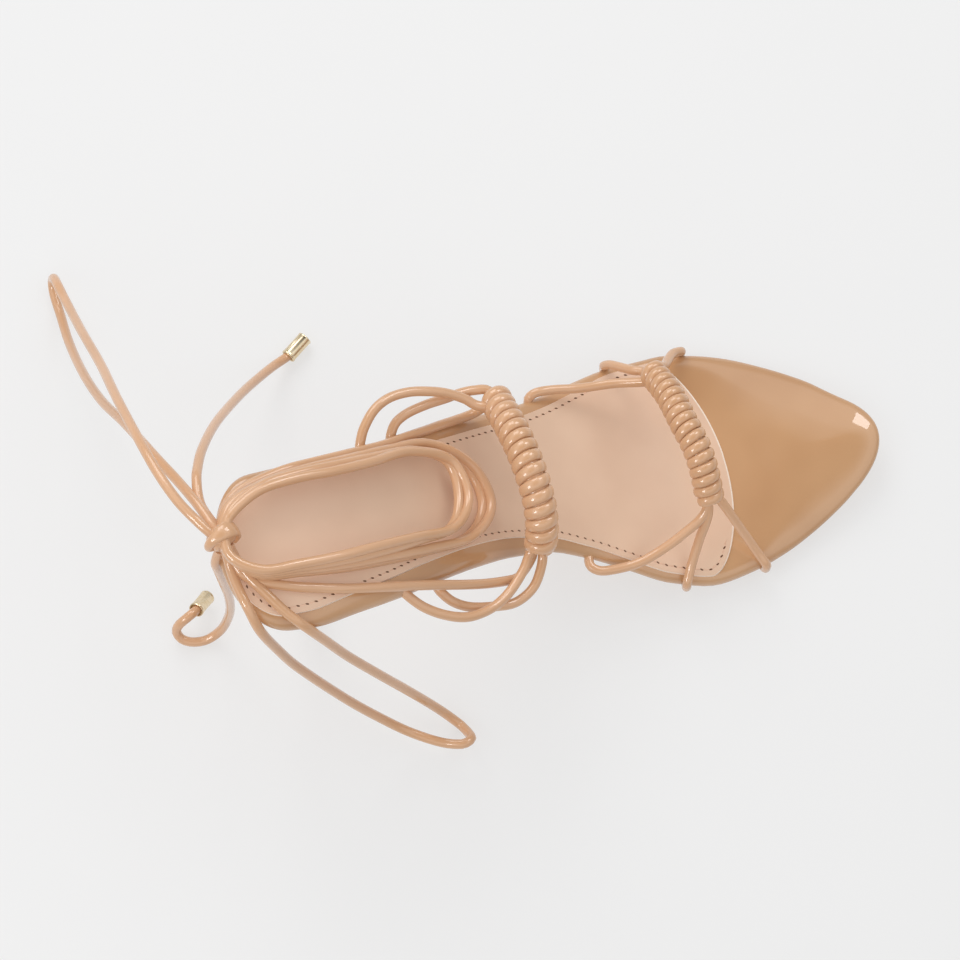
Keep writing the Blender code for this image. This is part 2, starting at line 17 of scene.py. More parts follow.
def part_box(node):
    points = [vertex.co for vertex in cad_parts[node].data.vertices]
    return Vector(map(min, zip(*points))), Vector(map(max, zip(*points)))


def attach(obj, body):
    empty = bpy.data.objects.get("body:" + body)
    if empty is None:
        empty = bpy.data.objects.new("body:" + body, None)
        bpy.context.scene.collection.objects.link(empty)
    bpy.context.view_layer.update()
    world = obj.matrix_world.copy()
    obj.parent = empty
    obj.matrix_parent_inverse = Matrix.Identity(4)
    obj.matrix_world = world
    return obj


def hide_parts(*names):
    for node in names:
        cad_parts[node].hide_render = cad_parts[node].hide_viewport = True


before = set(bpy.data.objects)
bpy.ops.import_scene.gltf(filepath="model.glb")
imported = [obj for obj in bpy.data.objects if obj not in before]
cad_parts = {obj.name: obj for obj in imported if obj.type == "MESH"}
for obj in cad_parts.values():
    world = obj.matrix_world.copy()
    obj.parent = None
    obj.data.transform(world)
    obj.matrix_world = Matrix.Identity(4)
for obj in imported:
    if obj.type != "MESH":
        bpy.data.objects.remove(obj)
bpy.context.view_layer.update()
print("frame pieces:", ", ".join(sorted(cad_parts)))

# %% [markdown]
# ## One ruler for the whole shoe
# A shoemaker measures from the back of the heel, so all sizes here are in millimetres from that point:
# x to the toe, y to the outer side and z up from the floor. The frame has its origin under the middle
# of the shoe, and two of its own edges tell how far the two rulers are apart.

# %% The shoemaker's ruler
MM = 0.001
TOP_PIECE_EDGE = -4.8
heel_back = Vector((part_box("footbed")[0].x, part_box("top_piece")[0].y - TOP_PIECE_EDGE * MM, 0.0))


def place(point):
    """A point in the shoemaker's millimetres, in the frame's metres."""
    return Vector(point) * MM + heel_back


print("heel back in the frame:", [round(c, 4) for c in heel_back])

# %% [markdown]
# ## Finishes
# Each finish starts from the real material. Colours are given as they look on a screen and turned to
# linear light. Patterns are sized in millimetres, as repeats per metre of the object's own coordinates.

# %% Helpers for materials


def linear(code):
    """A screen colour such as D9B08C in linear light."""
    channels = [int(code[i:i + 2], 16) / 255 for i in (0, 2, 4)]
    return (*[c / 12.92 if c <= 0.04045 else ((c + 0.055) / 1.055) ** 2.4 for c in channels], 1.0)


def add_node(tree, kind, settings=None, links=None):
    """One shader node with its settings, and links from other nodes' outputs into its inputs."""
    made = tree.nodes.new(kind)
    for name, value in (settings or {}).items():
        if name in made.inputs:
            made.inputs[name].default_value = value
        else:
            setattr(made, name, value)
    for name, socket in (links or {}).items():
        tree.links.new(socket, made.inputs[name])
    return made


def per_metre(size_mm):
    """Texture scale for features of about this size."""
    return 1000.0 / size_mm


Finish = namedtuple("Finish", "material tree shader where drift")


def mottled_finish(name, tones, size_mm, detail, spread=0.4):
    """A material whose colour drifts between two tones, with the parts that a finish builds on."""
    material = bpy.data.materials.new(name)
    material.use_nodes = True
    tree = material.node_tree
    shader = tree.nodes["Principled BSDF"]
    where = add_node(tree, "ShaderNodeTexCoord").outputs["Object"]
    drift = add_node(tree, "ShaderNodeTexNoise", {"Scale": per_metre(size_mm), "Detail": detail},
                     {"Vector": where}).outputs["Fac"]
    tone = add_node(tree, "ShaderNodeValToRGB", links={"Fac": drift})
    for spot, side, code in zip(tone.color_ramp.elements, (-0.5, 0.5), tones):
        spot.position = 0.5 + side * spread
        spot.color = linear(code)
    tree.links.new(tone.outputs["Color"], shader.inputs["Base Color"])
    return Finish(material, tree, shader, where, drift)


def set_values(shader, **values):
    """Plain numbers on the shader's own sockets. Underscores stand for spaces."""
    for name, value in values.items():
        shader.inputs[name.replace("_", " ").title().replace("Ior", "IOR")].default_value = value


# %% [markdown]
# ### Patent leather
# Patent leather is leather or polyurethane under a thick clear lacquer. The lacquer gives a mirror-like
# second reflection over a softer one, so the shader's coat layer is the natural way to make it. The
# colour clouds a little over some centimetres, and the lacquer has a faint orange peel of about two
# millimetres.

# %% Patent leather of the sole and heel


def patent_leather(name, tones, peel_mm, peel, lacquer_ior):
    """Leather with a clear lacquer over it."""
    made = mottled_finish(name, tones, size_mm=38, detail=2.0)
    grain = add_node(made.tree, "ShaderNodeTexNoise", {"Scale": per_metre(peel_mm), "Detail": 1.0},
                     {"Vector": made.where})
    bump = add_node(made.tree, "ShaderNodeBump", {"Strength": peel, "Distance": 0.2 * MM},
                    {"Height": grain.outputs["Fac"]})
    made.tree.links.new(bump.outputs["Normal"], made.shader.inputs["Normal"])
    set_values(made.shader, roughness=0.5, ior=1.5, specular_ior_level=0.15)
    set_values(made.shader, coat_weight=1.0, coat_roughness=0.04, coat_ior=lacquer_ior)
    return made.material


PATENT = patent_leather("patent_leather", ("B3875F", "C39870"), peel_mm=2.2, peel=0.05, lacquer_ior=1.7)
CORD_SKIN = patent_leather("rolled_patent_cord", ("C79A73", "D0A480"), peel_mm=1.6, peel=0.04,
                           lacquer_ior=1.6)
print("lacquered finishes:", PATENT.name, CORD_SKIN.name)

# %% [markdown]
# ### Satin sock lining
# The insole is covered with a smooth polyurethane lining. It has a soft sheen rather than a mirror, a
# pinkish nude colour and a very fine embossed grain. The real grain is about a quarter of a millimetre,
# which is finer than a pixel here, so it is drawn at half a millimetre to show.

# %% Satin lining, its thread, and the plain finishes underneath


def satin_lining():
    """Smooth lining with a fine pressed grain."""
    made = mottled_finish("satin_lining", ("D3B299", "DABBA2"), size_mm=30, detail=3.0, spread=0.36)
    grain = add_node(made.tree, "ShaderNodeTexVoronoi", {"Scale": per_metre(0.5)}, {"Vector": made.where})
    bump = add_node(made.tree, "ShaderNodeBump", {"Strength": 0.12, "Distance": 0.1 * MM},
                    {"Height": grain.outputs["Distance"]})
    made.tree.links.new(bump.outputs["Normal"], made.shader.inputs["Normal"])
    set_values(made.shader, roughness=0.42, ior=1.5, specular_ior_level=0.35)
    return made.material


def fibre_finish(name, tones, size_mm, roughness):
    """A dull material with a fine uneven colour, such as a cut edge, thread or sole leather."""
    made = mottled_finish(name, tones, size_mm, detail=4.0)
    bump = add_node(made.tree, "ShaderNodeBump", {"Strength": 0.15, "Distance": 0.2 * MM},
                    {"Height": made.drift})
    made.tree.links.new(bump.outputs["Normal"], made.shader.inputs["Normal"])
    set_values(made.shader, roughness=roughness, ior=1.5)
    return made.material


SATIN = satin_lining()
CUT_EDGE = fibre_finish("cut_edge_of_lining", ("E6D3C2", "F0E2D4"), size_mm=0.6, roughness=0.8)
THREAD = fibre_finish("polyester_thread", ("D2AC92", "DDB9A0"), size_mm=0.4, roughness=0.6)
# Painted shade: this dark brown stands for the shadow inside each needle hole.
NEEDLE_HOLE_SHADE = fibre_finish("needle_hole_painted_shade", ("5A3A26", "6B4630"), size_mm=0.4, roughness=0.9)
SOLE_LEATHER = fibre_finish("tan_sole_leather", ("B48A66", "C49A76"), size_mm=1.5, roughness=0.55)
TOP_PIECE = fibre_finish("moulded_polyurethane_top_piece", ("7A5638", "8A6444"), size_mm=0.8,
                         roughness=0.5)
print("lining finishes:", SATIN.name, CUT_EDGE.name, THREAD.name, NEEDLE_HOLE_SHADE.name)
print("finishes underneath:", SOLE_LEATHER.name, TOP_PIECE.name)

# %% [markdown]
# ### Pale gold metal
# The cord tips are stamped brass with a pale gold plating. Rolled sheet and plating are never quite
# even, so the tone and the surface drift a little over about a millimetre.

# %% Plated brass of the cord tips


def plated_brass():
    """Polished pale gold plating over brass."""
    made = mottled_finish("pale_gold_plated_brass", ("E3CEA8", "EFDFC2"), size_mm=1.2, detail=3.0)
    bump = add_node(made.tree, "ShaderNodeBump", {"Strength": 0.06, "Distance": 0.1 * MM},
                    {"Height": made.drift})
    made.tree.links.new(bump.outputs["Normal"], made.shader.inputs["Normal"])
    set_values(made.shader, metallic=1.0, roughness=0.25)
    return made.material


GOLD = plated_brass()
print("metal finish:", GOLD.name)

# %% [markdown]
# ## The sole
# A sole of this kind is drawn from a plan outline and a side profile. One short table holds both,
# section by section from heel to toe, and a smooth curve through the rows gives any place between them.
# Every layer of the sole is then a stack of rings: the outline moved inwards by some distance, at some
# depth under the top.

# %% Section table and outline
Section = namedtuple("Section", "x top medial lateral medial_margin lateral_margin")
SECTIONS = [
    Section(0.0, 102.0, -26.0, 25.0, 2.2, 2.2),
    Section(12.0, 99.4, -26.4, 25.4, 3.6, 3.6),
    Section(24.0, 95.5, -27.3, 26.0, 4.6, 4.4),
    Section(38.0, 89.2, -25.2, 26.8, 5.3, 4.8),
    Section(52.0, 80.8, -22.5, 28.6, 5.9, 5.0),
    Section(66.0, 69.9, -18.5, 31.2, 6.2, 5.2),
    Section(80.0, 57.6, -14.7, 34.6, 6.2, 5.3),
    Section(94.0, 45.1, -12.1, 37.8, 5.6, 5.2),
    Section(106.0, 34.9, -11.6, 40.0, 4.3, 5.0),
    Section(118.0, 26.1, -14.9, 43.0, 3.4, 4.7),
    Section(131.0, 18.4, -21.2, 46.7, 2.9, 4.0),
    Section(145.0, 12.2, -28.6, 49.8, 2.6, 2.8),
    Section(162.0, 8.6, -33.0, 50.3, 2.4, 2.3),
    Section(174.0, 8.6, -31.8, 47.6, 2.4, 2.3),
    Section(186.0, 8.6, -28.8, 43.2, 2.4, 2.3),
    Section(198.0, 9.6, -24.2, 36.2, 2.4, 2.3),
    Section(210.0, 11.1, -18.2, 27.4, 2.4, 2.3),
    Section(220.0, 13.1, -12.1, 18.3, 2.4, 2.3),
    Section(228.5, 15.0, -9.0, 15.0, 2.4, 2.3),
]
SOLE_LENGTH = SECTIONS[-1].x
HEEL_ROUND = 16.0
TOE_ROUND = 12.0
STATIONS = 110


def along(table, x, column):
    """One column of a table at x: a smooth curve through the rows that never overshoots them."""
    keys = [row[0] for row in table]
    values = [getattr(row, column) for row in table]
    x = min(max(x, keys[0]), keys[-1])
    slopes = [(values[i + 1] - values[i]) / (keys[i + 1] - keys[i]) for i in range(len(keys) - 1)]
    tangents = [slopes[0]]
    for before, after in zip(slopes, slopes[1:]):
        tangents.append(2 * before * after / (before + after) if before * after > 0 else 0.0)
    tangents.append(slopes[-1])
    i = next(i for i in range(len(slopes)) if x <= keys[i + 1])
    step = keys[i + 1] - keys[i]
    t = (x - keys[i]) / step
    return ((1 + 2 * t) * (1 - t) ** 2 * values[i] + t * (1 - t) ** 2 * step * tangents[i]
            + t * t * (3 - 2 * t) * values[i + 1] - t * t * (1 - t) * step * tangents[i + 1])


def top_height(x):
    """Height of the footbed's top surface."""
    return along(SECTIONS, x, "top")


def closing(distance, rounding):
    """How much of the width is left at a distance from a rounded end."""
    if distance >= rounding:
        return 1.0
    return math.sqrt(max(0.0, 1 - ((rounding - distance) / rounding) ** 2))


def outline(start=0.0, end=SOLE_LENGTH, start_round=HEEL_ROUND, end_round=TOE_ROUND):
    """Closed plan outline: along the medial edge to the front, and back on the lateral edge."""
    medial = []
    lateral = []
    for i in range(STATIONS + 1):
        x = start + (end - start) * (1 - math.cos(math.pi * i / STATIONS)) / 2
        low = along(SECTIONS, x, "medial")
        high = along(SECTIONS, x, "lateral")
        left = closing(x - start, start_round) * closing(end - x, end_round)
        medial.append((x, (low + high) / 2 - (high - low) / 2 * left))
        lateral.append((x, (low + high) / 2 + (high - low) / 2 * left))
    return [Vector(p) for p in medial + lateral[-2:0:-1]]


def inset_loop(loop, distances):
    """The outline moved inwards, by one distance for each of its points."""
    moved = []
    for i, p in enumerate(loop):
        tangent = loop[(i + 1) % len(loop)] - loop[i - 1]
        moved.append(p + Vector((-tangent.y, tangent.x)).normalized() * distances[i])
    return moved


print("sole:", SOLE_LENGTH, "mm long,", len(SECTIONS), "sections")

# %% [markdown]
# A ring stack becomes a mesh by joining each ring to the next. The helpers below do that, close the
# ends, and turn the result into a piece that rides on the shoe and stands for its plain solid.

# %% Helpers for meshes
WELD_DISTANCE = 1e-6
SLIVER_DISTANCE = 1e-7
CAP_RINGS = 4


def loft(bm, rings, material=0, loop=False):
    """Faces between rings of the same number of points. A loop joins the last ring to the first."""
    rows = [[bm.verts.new(place(p)) for p in ring] for ring in rings]
    pairs = list(zip(rows, rows[1:]))
    if loop:
        pairs.append((rows[-1], rows[0]))
    for lower, upper in pairs:
        for i in range(len(lower)):
            face = bm.faces.new((lower[i - 1], lower[i], upper[i], upper[i - 1]))
            face.material_index = material
    return rows


def close_ring(bm, row, material=0):
    """Close a round end with a fan from its middle."""
    middle = bm.verts.new(sum((v.co for v in row), Vector()) / len(row))
    for i in range(len(row)):
        face = bm.faces.new((row[i - 1], row[i], middle))
        face.material_index = material


def piece(name, bm, finishes, nodes=(), sharp=45):
    """Turn a mesh under construction into a piece that rides on the shoe."""
    bmesh.ops.remove_doubles(bm, verts=bm.verts, dist=WELD_DISTANCE)
    bmesh.ops.dissolve_degenerate(bm, edges=bm.edges, dist=SLIVER_DISTANCE)
    bmesh.ops.recalc_face_normals(bm, faces=bm.faces)
    mesh = bpy.data.meshes.new(name)
    bm.to_mesh(mesh)
    bm.free()
    mesh.shade_smooth()
    mesh.set_sharp_from_angle(angle=math.radians(sharp))
    for finish in finishes:
        mesh.materials.append(finish)
    made = bpy.data.objects.new(name, mesh)
    bpy.context.scene.collection.objects.link(made)
    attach(made, "root")
    if nodes:
        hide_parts(*nodes)
    print(f"{name}: {len(mesh.polygons)} faces")
    return made


def edge_rings(loop, edge):
    """Rings of a layer's edge profile, from distances in from the outline and depths under the top."""
    rings = []
    for inset, depth in edge:
        ring = inset_loop(loop, [inset] * len(loop))
        rings.append([Vector((p.x, p.y, top_height(p.x) - depth)) for p in ring])
    return rings


def towards_middle(ring, t):
    """A ring drawn in towards the sole's middle line: 0 leaves it, 1 closes it."""
    return [p.lerp((p + ring[-i]) / 2, t) for i, p in enumerate(ring)]


def cap_rings(ring):
    """Rings that fill a layer's face, from its middle line out to its edge."""
    return [towards_middle(ring, k / CAP_RINGS) for k in range(CAP_RINGS, 0, -1)]


# %% [markdown]
# ### Footbed
# The footbed is a padded board wrapped in patent leather. The wrap rolls over the edge in a soft
# quarter round, and the padding makes the bare toe area slightly domed, which is what bends its
# reflections. A bevel would round the edge evenly, but the roll is wider at the toe, so the height is
# worked out from each point's distance to the edge.

# %% Footbed
FOOTBED_THICK = 6.0
ROLL_SIZE = Vector((4.4, 3.4))
TOE_ROLL_SIZE = Vector((13.0, 4.3))
TOE_PAD_START = 172.0
TOE_PAD_FULL = 196.0
TOE_CROWN = 2.6
CROWN_REACH = 24.0
UNDER_ROUND = 1.6
UNDER_INSET = 2.0
UNDER_STEPS = 5
TOP_RINGS = 24
RIM_CROWDING = 1.6

sole_plan = outline()
edge_tree = KDTree(len(sole_plan))
for i, p in enumerate(sole_plan):
    edge_tree.insert((p.x, p.y, 0.0), i)
edge_tree.balance()


def edge_distance(p):
    """Plan distance from a point to the footbed's outline."""
    spot = Vector((p.x, p.y))
    nearest = edge_tree.find((p.x, p.y, 0.0))[1]
    distances = []
    for i in (nearest, (nearest + 1) % len(sole_plan)):
        start = sole_plan[i - 1]
        step = sole_plan[i] - start
        part = min(1.0, max(0.0, (spot - start).dot(step) / step.length_squared))
        distances.append((spot - start - step * part).length)
    return min(distances)


def smooth_step(value, start, end):
    """A soft rise from 0 at the start to 1 at the end."""
    t = min(1.0, max(0.0, (value - start) / (end - start)))
    return t * t * (3 - 2 * t)


def footbed_height(p):
    """Height of the wrapped footbed: its rolled rim, and the padding ahead of the lining."""
    distance = edge_distance(p)
    ahead = smooth_step(p.x, TOE_PAD_START, TOE_PAD_FULL)
    width, depth = ROLL_SIZE.lerp(TOE_ROLL_SIZE, ahead)
    inside = min(1.0, distance / width)
    roll = depth * (1 - math.sqrt(1 - (1 - inside) ** 2))
    crown = TOE_CROWN * ahead * smooth_step(distance, 0.0, CROWN_REACH)
    return top_height(p.x) - roll + crown


under = []
for k in range(UNDER_STEPS + 1):
    a = math.pi / 2 * k / UNDER_STEPS
    under.append((UNDER_INSET * (1 - math.sin(a)), FOOTBED_THICK - UNDER_ROUND * (1 - math.cos(a))))
below = edge_rings(sole_plan, under)
above = []
for k in range(TOP_RINGS + 1):
    ring = towards_middle(sole_plan, (k / TOP_RINGS) ** RIM_CROWDING)
    above.append([Vector((p.x, p.y, footbed_height(p))) for p in ring])
bm = bmesh.new()
loft(bm, cap_rings(below[0]) + below + above)
piece("footbed_wrap", bm, [PATENT], ["footbed"])

# %% [markdown]
# ### Sock lining and its cut edge
# The lining is a flat sheet with a bare cut edge that shows as a pale line, widest across the front
# where the edge is skived. A flat sheet could float over the footbed, but the footbed is curved, so the
# sheet takes its height from the footbed's own surface.

# %% Sock lining
SOCK_THICK = 0.8
SOCK_LIFT = 0.3
SOCK_FRONT = 177.4
SOCK_FRONT_ROUND = 19.0
SOCK_SINK = 0.05
SOCK_RINGS = 12
SOCK_CROWDING = 1.5
FRONT_BEVEL = 0.5
SIDE_BEVEL = 0.1
BEVEL_DEPTH = 0.3
BEVEL_START = 160.0
BEVEL_FULL = 172.0


def sock_loop(extra):
    """The lining's plan outline, moved a further distance inside its own edge."""
    plan = outline(end=SOCK_FRONT, end_round=SOCK_FRONT_ROUND)
    margins = []
    for i, p in enumerate(plan):
        side = "medial_margin" if i <= STATIONS else "lateral_margin"
        margins.append(along(SECTIONS, p.x, side) + (extra(p.x) if callable(extra) else extra))
    return inset_loop(plan, margins)


def edge_bevel(x):
    """Width of the pale skived edge: wider across the front of the lining."""
    t = min(1.0, max(0.0, (x - BEVEL_START) / (BEVEL_FULL - BEVEL_START)))
    return SIDE_BEVEL + (FRONT_BEVEL - SIDE_BEVEL) * t


def laid(loop, lift):
    """A plan loop laid on the footbed, at a height above its surface."""
    return [Vector((p.x, p.y, footbed_height(p) + lift)) for p in loop]


sock_top = SOCK_LIFT + SOCK_THICK
bm = bmesh.new()
low_edge = laid(sock_loop(0.0), -SOCK_SINK)
rim_edge = laid(sock_loop(0.0), sock_top - BEVEL_DEPTH)
top_plan = sock_loop(edge_bevel)
loft(bm, [low_edge, rim_edge, laid(top_plan, sock_top)], material=1)
spans = [(k / SOCK_RINGS) ** SOCK_CROWDING for k in range(SOCK_RINGS + 1)]
loft(bm, [laid(towards_middle(top_plan, t), sock_top) for t in spans])
piece("sock_lining_sheet", bm, [SATIN, CUT_EDGE], ["sock_lining"])

# %% [markdown]
# ### Stitches of the lining
# A lockstitch runs two millimetres inside the edge along both sides and round the heel. A texture could
# draw it, but a stitch catches the light, so each one is modelled: a short bead of thread pulled into
# the lining, with a dark slanted bead at its end that is painted shade, the shadow inside the needle
# hole.

# %% Stitches of the lining
STITCH_PITCH = 3.15
STITCH_INSET = 2.2
STITCH_END_X = 167.5
THREAD_SPAN = (0.2, 0.9)
THREAD_RADIUS = 0.22
THREAD_RISE = 0.12
# Size of the dark bead of painted shade that marks each needle hole.
HOLE_SHADE_LENGTH = 1.25
HOLE_SHADE_RADIUS = 0.3
HOLE_SHADE_RISE = 0.1
HOLE_SHADE_SLANT = math.radians(-24)
BEAD_PROFILE = [(0.0, 0.25), (0.12, 0.75), (0.5, 1.0), (0.88, 0.75), (1.0, 0.25)]
BEAD_SIDES = 6


def even_line(points, step):
    """A polyline cut into equal steps."""
    lengths = [0.0]
    for a, b in zip(points, points[1:]):
        lengths.append(lengths[-1] + (b - a).length)
    count = max(2, round(lengths[-1] / step))
    line = []
    i = 0
    for k in range(count + 1):
        distance = lengths[-1] * k / count
        while i < len(points) - 2 and lengths[i + 1] < distance:
            i += 1
        part = (distance - lengths[i]) / (lengths[i + 1] - lengths[i])
        line.append(points[i].lerp(points[i + 1], part))
    return line


def bead(bm, start, end, width, height, material):
    """A short rounded bead between two points, sunk to its middle in the surface."""
    axis = (end - start).normalized()
    side = axis.cross(Vector((0, 0, 1))).normalized()
    up = side.cross(axis)
    rings = []
    for t, size in BEAD_PROFILE:
        middle = start.lerp(end, t)
        ring = []
        for k in range(BEAD_SIDES):
            a = 2 * math.pi * k / BEAD_SIDES
            ring.append(middle + side * math.cos(a) * width * size + up * math.sin(a) * height * size)
        rings.append(ring)
    rows = loft(bm, rings, material)
    close_ring(bm, rows[0], material)
    close_ring(bm, rows[-1], material)


plan = laid(sock_loop(STITCH_INSET), sock_top)
seam = [p for p in plan[STATIONS:] + plan[:STATIONS] if p.x < STITCH_END_X]
seam = even_line(seam, STITCH_PITCH)
bm = bmesh.new()
for here, following in zip(seam, seam[1:]):
    slant = Matrix.Rotation(HOLE_SHADE_SLANT, 3, "Z") @ (following - here).normalized() * HOLE_SHADE_LENGTH
    thread_ends = [here.lerp(following, t) for t in THREAD_SPAN]
    bead(bm, *thread_ends, THREAD_RADIUS, THREAD_RISE, 0)
    # Painted shade: a dark bead where the shadow inside the needle hole falls.
    bead(bm, here - slant / 2, here + slant / 2, HOLE_SHADE_RADIUS, HOLE_SHADE_RISE, 1)
piece("lining_stitches", bm, [THREAD, NEEDLE_HOLE_SHADE])
print("stitches:", len(seam) - 1)

# %% [markdown]
# ### Outsole, heel and top piece
# They are hidden from above, so their looks follow what such a shoe has: a thin tan leather outsole, a
# heel covered in the same patent leather and a small moulded top piece. The heel is lofted through a
# short table of ovals that grow from the tip to the seat.

# %% Outsole, heel and top piece
BREAST_X = 48.0
BREAST_ROUND = 4.0
OUTSOLE_INSET = 2.6
OUTSOLE_EDGE = [(0.5, 8.6), (0.1, 8.35), (0.0, 8.0), (0.0, 6.6), (0.15, 6.35), (0.4, 6.3)]
HeelLevel = namedtuple("HeelLevel", "rise back front half")
HEEL_LEVELS = [
    HeelLevel(0.00, 20.5, 29.5, 4.2),
    HeelLevel(0.30, 18.8, 30.5, 4.8),
    HeelLevel(0.55, 16.0, 32.0, 6.4),
    HeelLevel(0.75, 11.5, 35.5, 10.0),
    HeelLevel(0.88, 6.8, 41.0, 15.5),
    HeelLevel(0.96, 3.6, 46.5, 20.8),
    HeelLevel(1.00, 2.4, 49.8, 23.2),
]
HEEL_CENTRE_Y = -0.6
HEEL_SQUARENESS = 2.4
HEEL_RINGS = 40
HEEL_CROWDING = 1.6
LAYER_GAP = 0.3
TOP_PIECE_HEIGHT = 6.5
TOP_PIECE_EDGE_PROFILE = [
    (0.55, 0.0), (0.2, 0.15), (0.0, 0.6), (0.0, 6.1), (0.12, 6.4), (0.4, TOP_PIECE_HEIGHT)]


def oval(back, front, half, points=48):
    """Plan ring of the heel, squarer than an ellipse."""
    power = 2 / HEEL_SQUARENESS
    ring = []
    for i in range(points):
        c = math.cos(2 * math.pi * i / points)
        s = math.sin(2 * math.pi * i / points)
        ring.append(((back + front) / 2 - (front - back) / 2 * math.copysign(abs(c) ** power, c),
                     HEEL_CENTRE_Y - half * math.copysign(abs(s) ** power, s)))
    return ring


tread_plan = outline(start=BREAST_X, start_round=BREAST_ROUND)
rings = edge_rings(inset_loop(tread_plan, [OUTSOLE_INSET] * len(tread_plan)), OUTSOLE_EDGE)
bm = bmesh.new()
loft(bm, cap_rings(rings[0]) + rings + cap_rings(rings[-1])[::-1])
piece("outsole_sheet", bm, [SOLE_LEATHER], ["outsole"])

heel_foot = TOP_PIECE_HEIGHT + LAYER_GAP
rings = []
for k in range(HEEL_RINGS + 1):
    rise = 1 - (1 - k / HEEL_RINGS) ** HEEL_CROWDING
    size = [along(HEEL_LEVELS, rise, column) for column in ("back", "front", "half")]
    seat = [(x, y, top_height(x) - FOOTBED_THICK - LAYER_GAP) for x, y in oval(*size)]
    rings.append([Vector((x, y, heel_foot + rise * (z - heel_foot))) for x, y, z in seat])
bm = bmesh.new()
rows = loft(bm, rings)
close_ring(bm, rows[0])
close_ring(bm, rows[-1])
piece("heel_cover", bm, [PATENT], ["heel"])

foot = HEEL_LEVELS[0]
rings = []
for shrink, z in TOP_PIECE_EDGE_PROFILE:
    plan = oval(foot.back + shrink, foot.front - shrink, foot.half - shrink)
    rings.append([Vector((x, y, z)) for x, y in plan])
bm = bmesh.new()
rows = loft(bm, rings)
close_ring(bm, rows[0])
close_ring(bm, rows[-1])
piece("heel_top_piece", bm, [TOP_PIECE], ["top_piece"])

# %% [markdown]
# ## The wrapped straps
# Each strap is a bundle of cords with another cord wrapped tightly round it. A plain ridged tube would
# not show the dark line between the wraps or the glint on each of them, so the wrap is made as what it
# is: a cord that follows a helix round the bundle. Its section is a little flatter than a circle,
# because it is pulled tight.

# %% Helpers for cords
CORD_RADIUS = 1.65
FINE_STEP = 0.5
END_SHRINK = 0.75


def smooth_line(points, step):
    """A smooth curve through given points, cut into equal steps."""
    points = [Vector(p) for p in points]
    padded = [2 * points[0] - points[1]] + points + [2 * points[-1] - points[-2]]
    fine = [points[0]]
    for a, b, c, d in zip(padded, padded[1:], padded[2:], padded[3:]):
        parts = max(3, round((c - b).length / FINE_STEP))
        for k in range(1, parts + 1):
            t = k / parts
            fine.append(0.5 * (2 * b + (c - a) * t + (2 * a - 5 * b + 4 * c - d) * t ** 2
                               + (3 * b - a - 3 * c + d) * t ** 3))
    return even_line(fine, step)


def frames(line):
    """A side and an up direction at each point of a line, carried along it without twist."""
    result = []
    side = None
    for i in range(len(line)):
        tangent = (line[min(i + 1, len(line) - 1)] - line[max(i - 1, 0)]).normalized()
        if side is None:
            side = tangent.orthogonal().normalized()
        side = (side - tangent * side.dot(tangent)).normalized()
        result.append((side, tangent.cross(side)))
    return result


def tube(bm, line, radius, sides=14, material=0):
    """A round cord along a line, with softly rounded ends."""
    rings = []
    for i, (p, (side, up)) in enumerate(zip(line, frames(line))):
        r = radius * (END_SHRINK if i in (0, len(line) - 1) else 1.0)
        angles = [2 * math.pi * k / sides for k in range(sides)]
        rings.append([p + (side * math.cos(a) + up * math.sin(a)) * r for a in angles])
    rows = loft(bm, rings, material)
    close_ring(bm, rows[0], material)
    close_ring(bm, rows[-1], material)


# %% [markdown]
# The cords that leave a strap are lasted to the sole. Rows with a rim_x go over the rim there, bend
# round it and run into the side wall. The others swing outside the rim and end at the wall from there.

# %% Strap tables
Coil = namedtuple("Coil", "route radius wraps wrap_width wrap_thickness")
FRONT_COIL = Coil(
    [(157.5, 40.3, 27.0), (160.1, 29.1, 34.0), (161.5, 17.0, 38.0), (163.1, 7.4, 38.5),
     (163.4, -1.3, 36.0), (163.1, -9.3, 31.0)],
    radius=5.1, wraps=16, wrap_width=3.6, wrap_thickness=2.6)
INSTEP_COIL = Coil(
    [(101.2, 38.2, 58.0), (102.7, 27.2, 65.0), (103.9, 17.3, 69.0), (104.6, 7.0, 70.5),
     (104.6, -2.3, 68.5), (103.5, -9.9, 64.0), (101.4, -15.3, 57.0)],
    radius=5.6, wraps=15.5, wrap_width=4.05, wrap_thickness=2.7)
WRAP_SQUARENESS = 2.15
Leg = namedtuple("Leg", "end rim_x run")
FRONT_LEGS = [
    Leg("lateral", 171.6, [
        (160.0, 41.4, 26.5), (162.8, 41.8, 23.0), (165.5, 44.9, 18.0), (168.4, 47.7, 13.5)]),
    Leg("lateral", 144.5, [
        (154.8, 41.2, 26.0), (152.3, 42.6, 25.0), (149.1, 45.8, 21.0), (146.2, 48.8, 17.0)]),
    Leg("lateral", None, [
        (152.4, 37.5, 27.5), (143.8, 40.2, 25.0), (132.8, 41.7, 25.0), (124.5, 43.2, 26.3),
        (119.5, 43.7, 27.3), (116.3, 43.4, 27.5), (114.5, 42.3, 26.2), (114.5, 40.8, 25.0)]),
    Leg("medial", 177.6, [
        (167.7, -12.2, 28.0), (172.7, -21.4, 18.0), (175.8, -27.6, 12.5)]),
    Leg("medial", 149.9, [
        (161.6, -12.8, 27.4), (157.2, -18.9, 20.0), (152.5, -25.9, 14.2)]),
    Leg("medial", None, [
        (160.8, -12.2, 28.0), (151.7, -16.7, 24.0), (140.8, -20.2, 21.5), (133.5, -21.5, 21.0),
        (125.6, -21.3, 21.5), (121.6, -20.6, 22.0), (119.2, -18.8, 22.2), (118.8, -16.6, 22.0),
        (119.6, -14.0, 21.6)]),
]
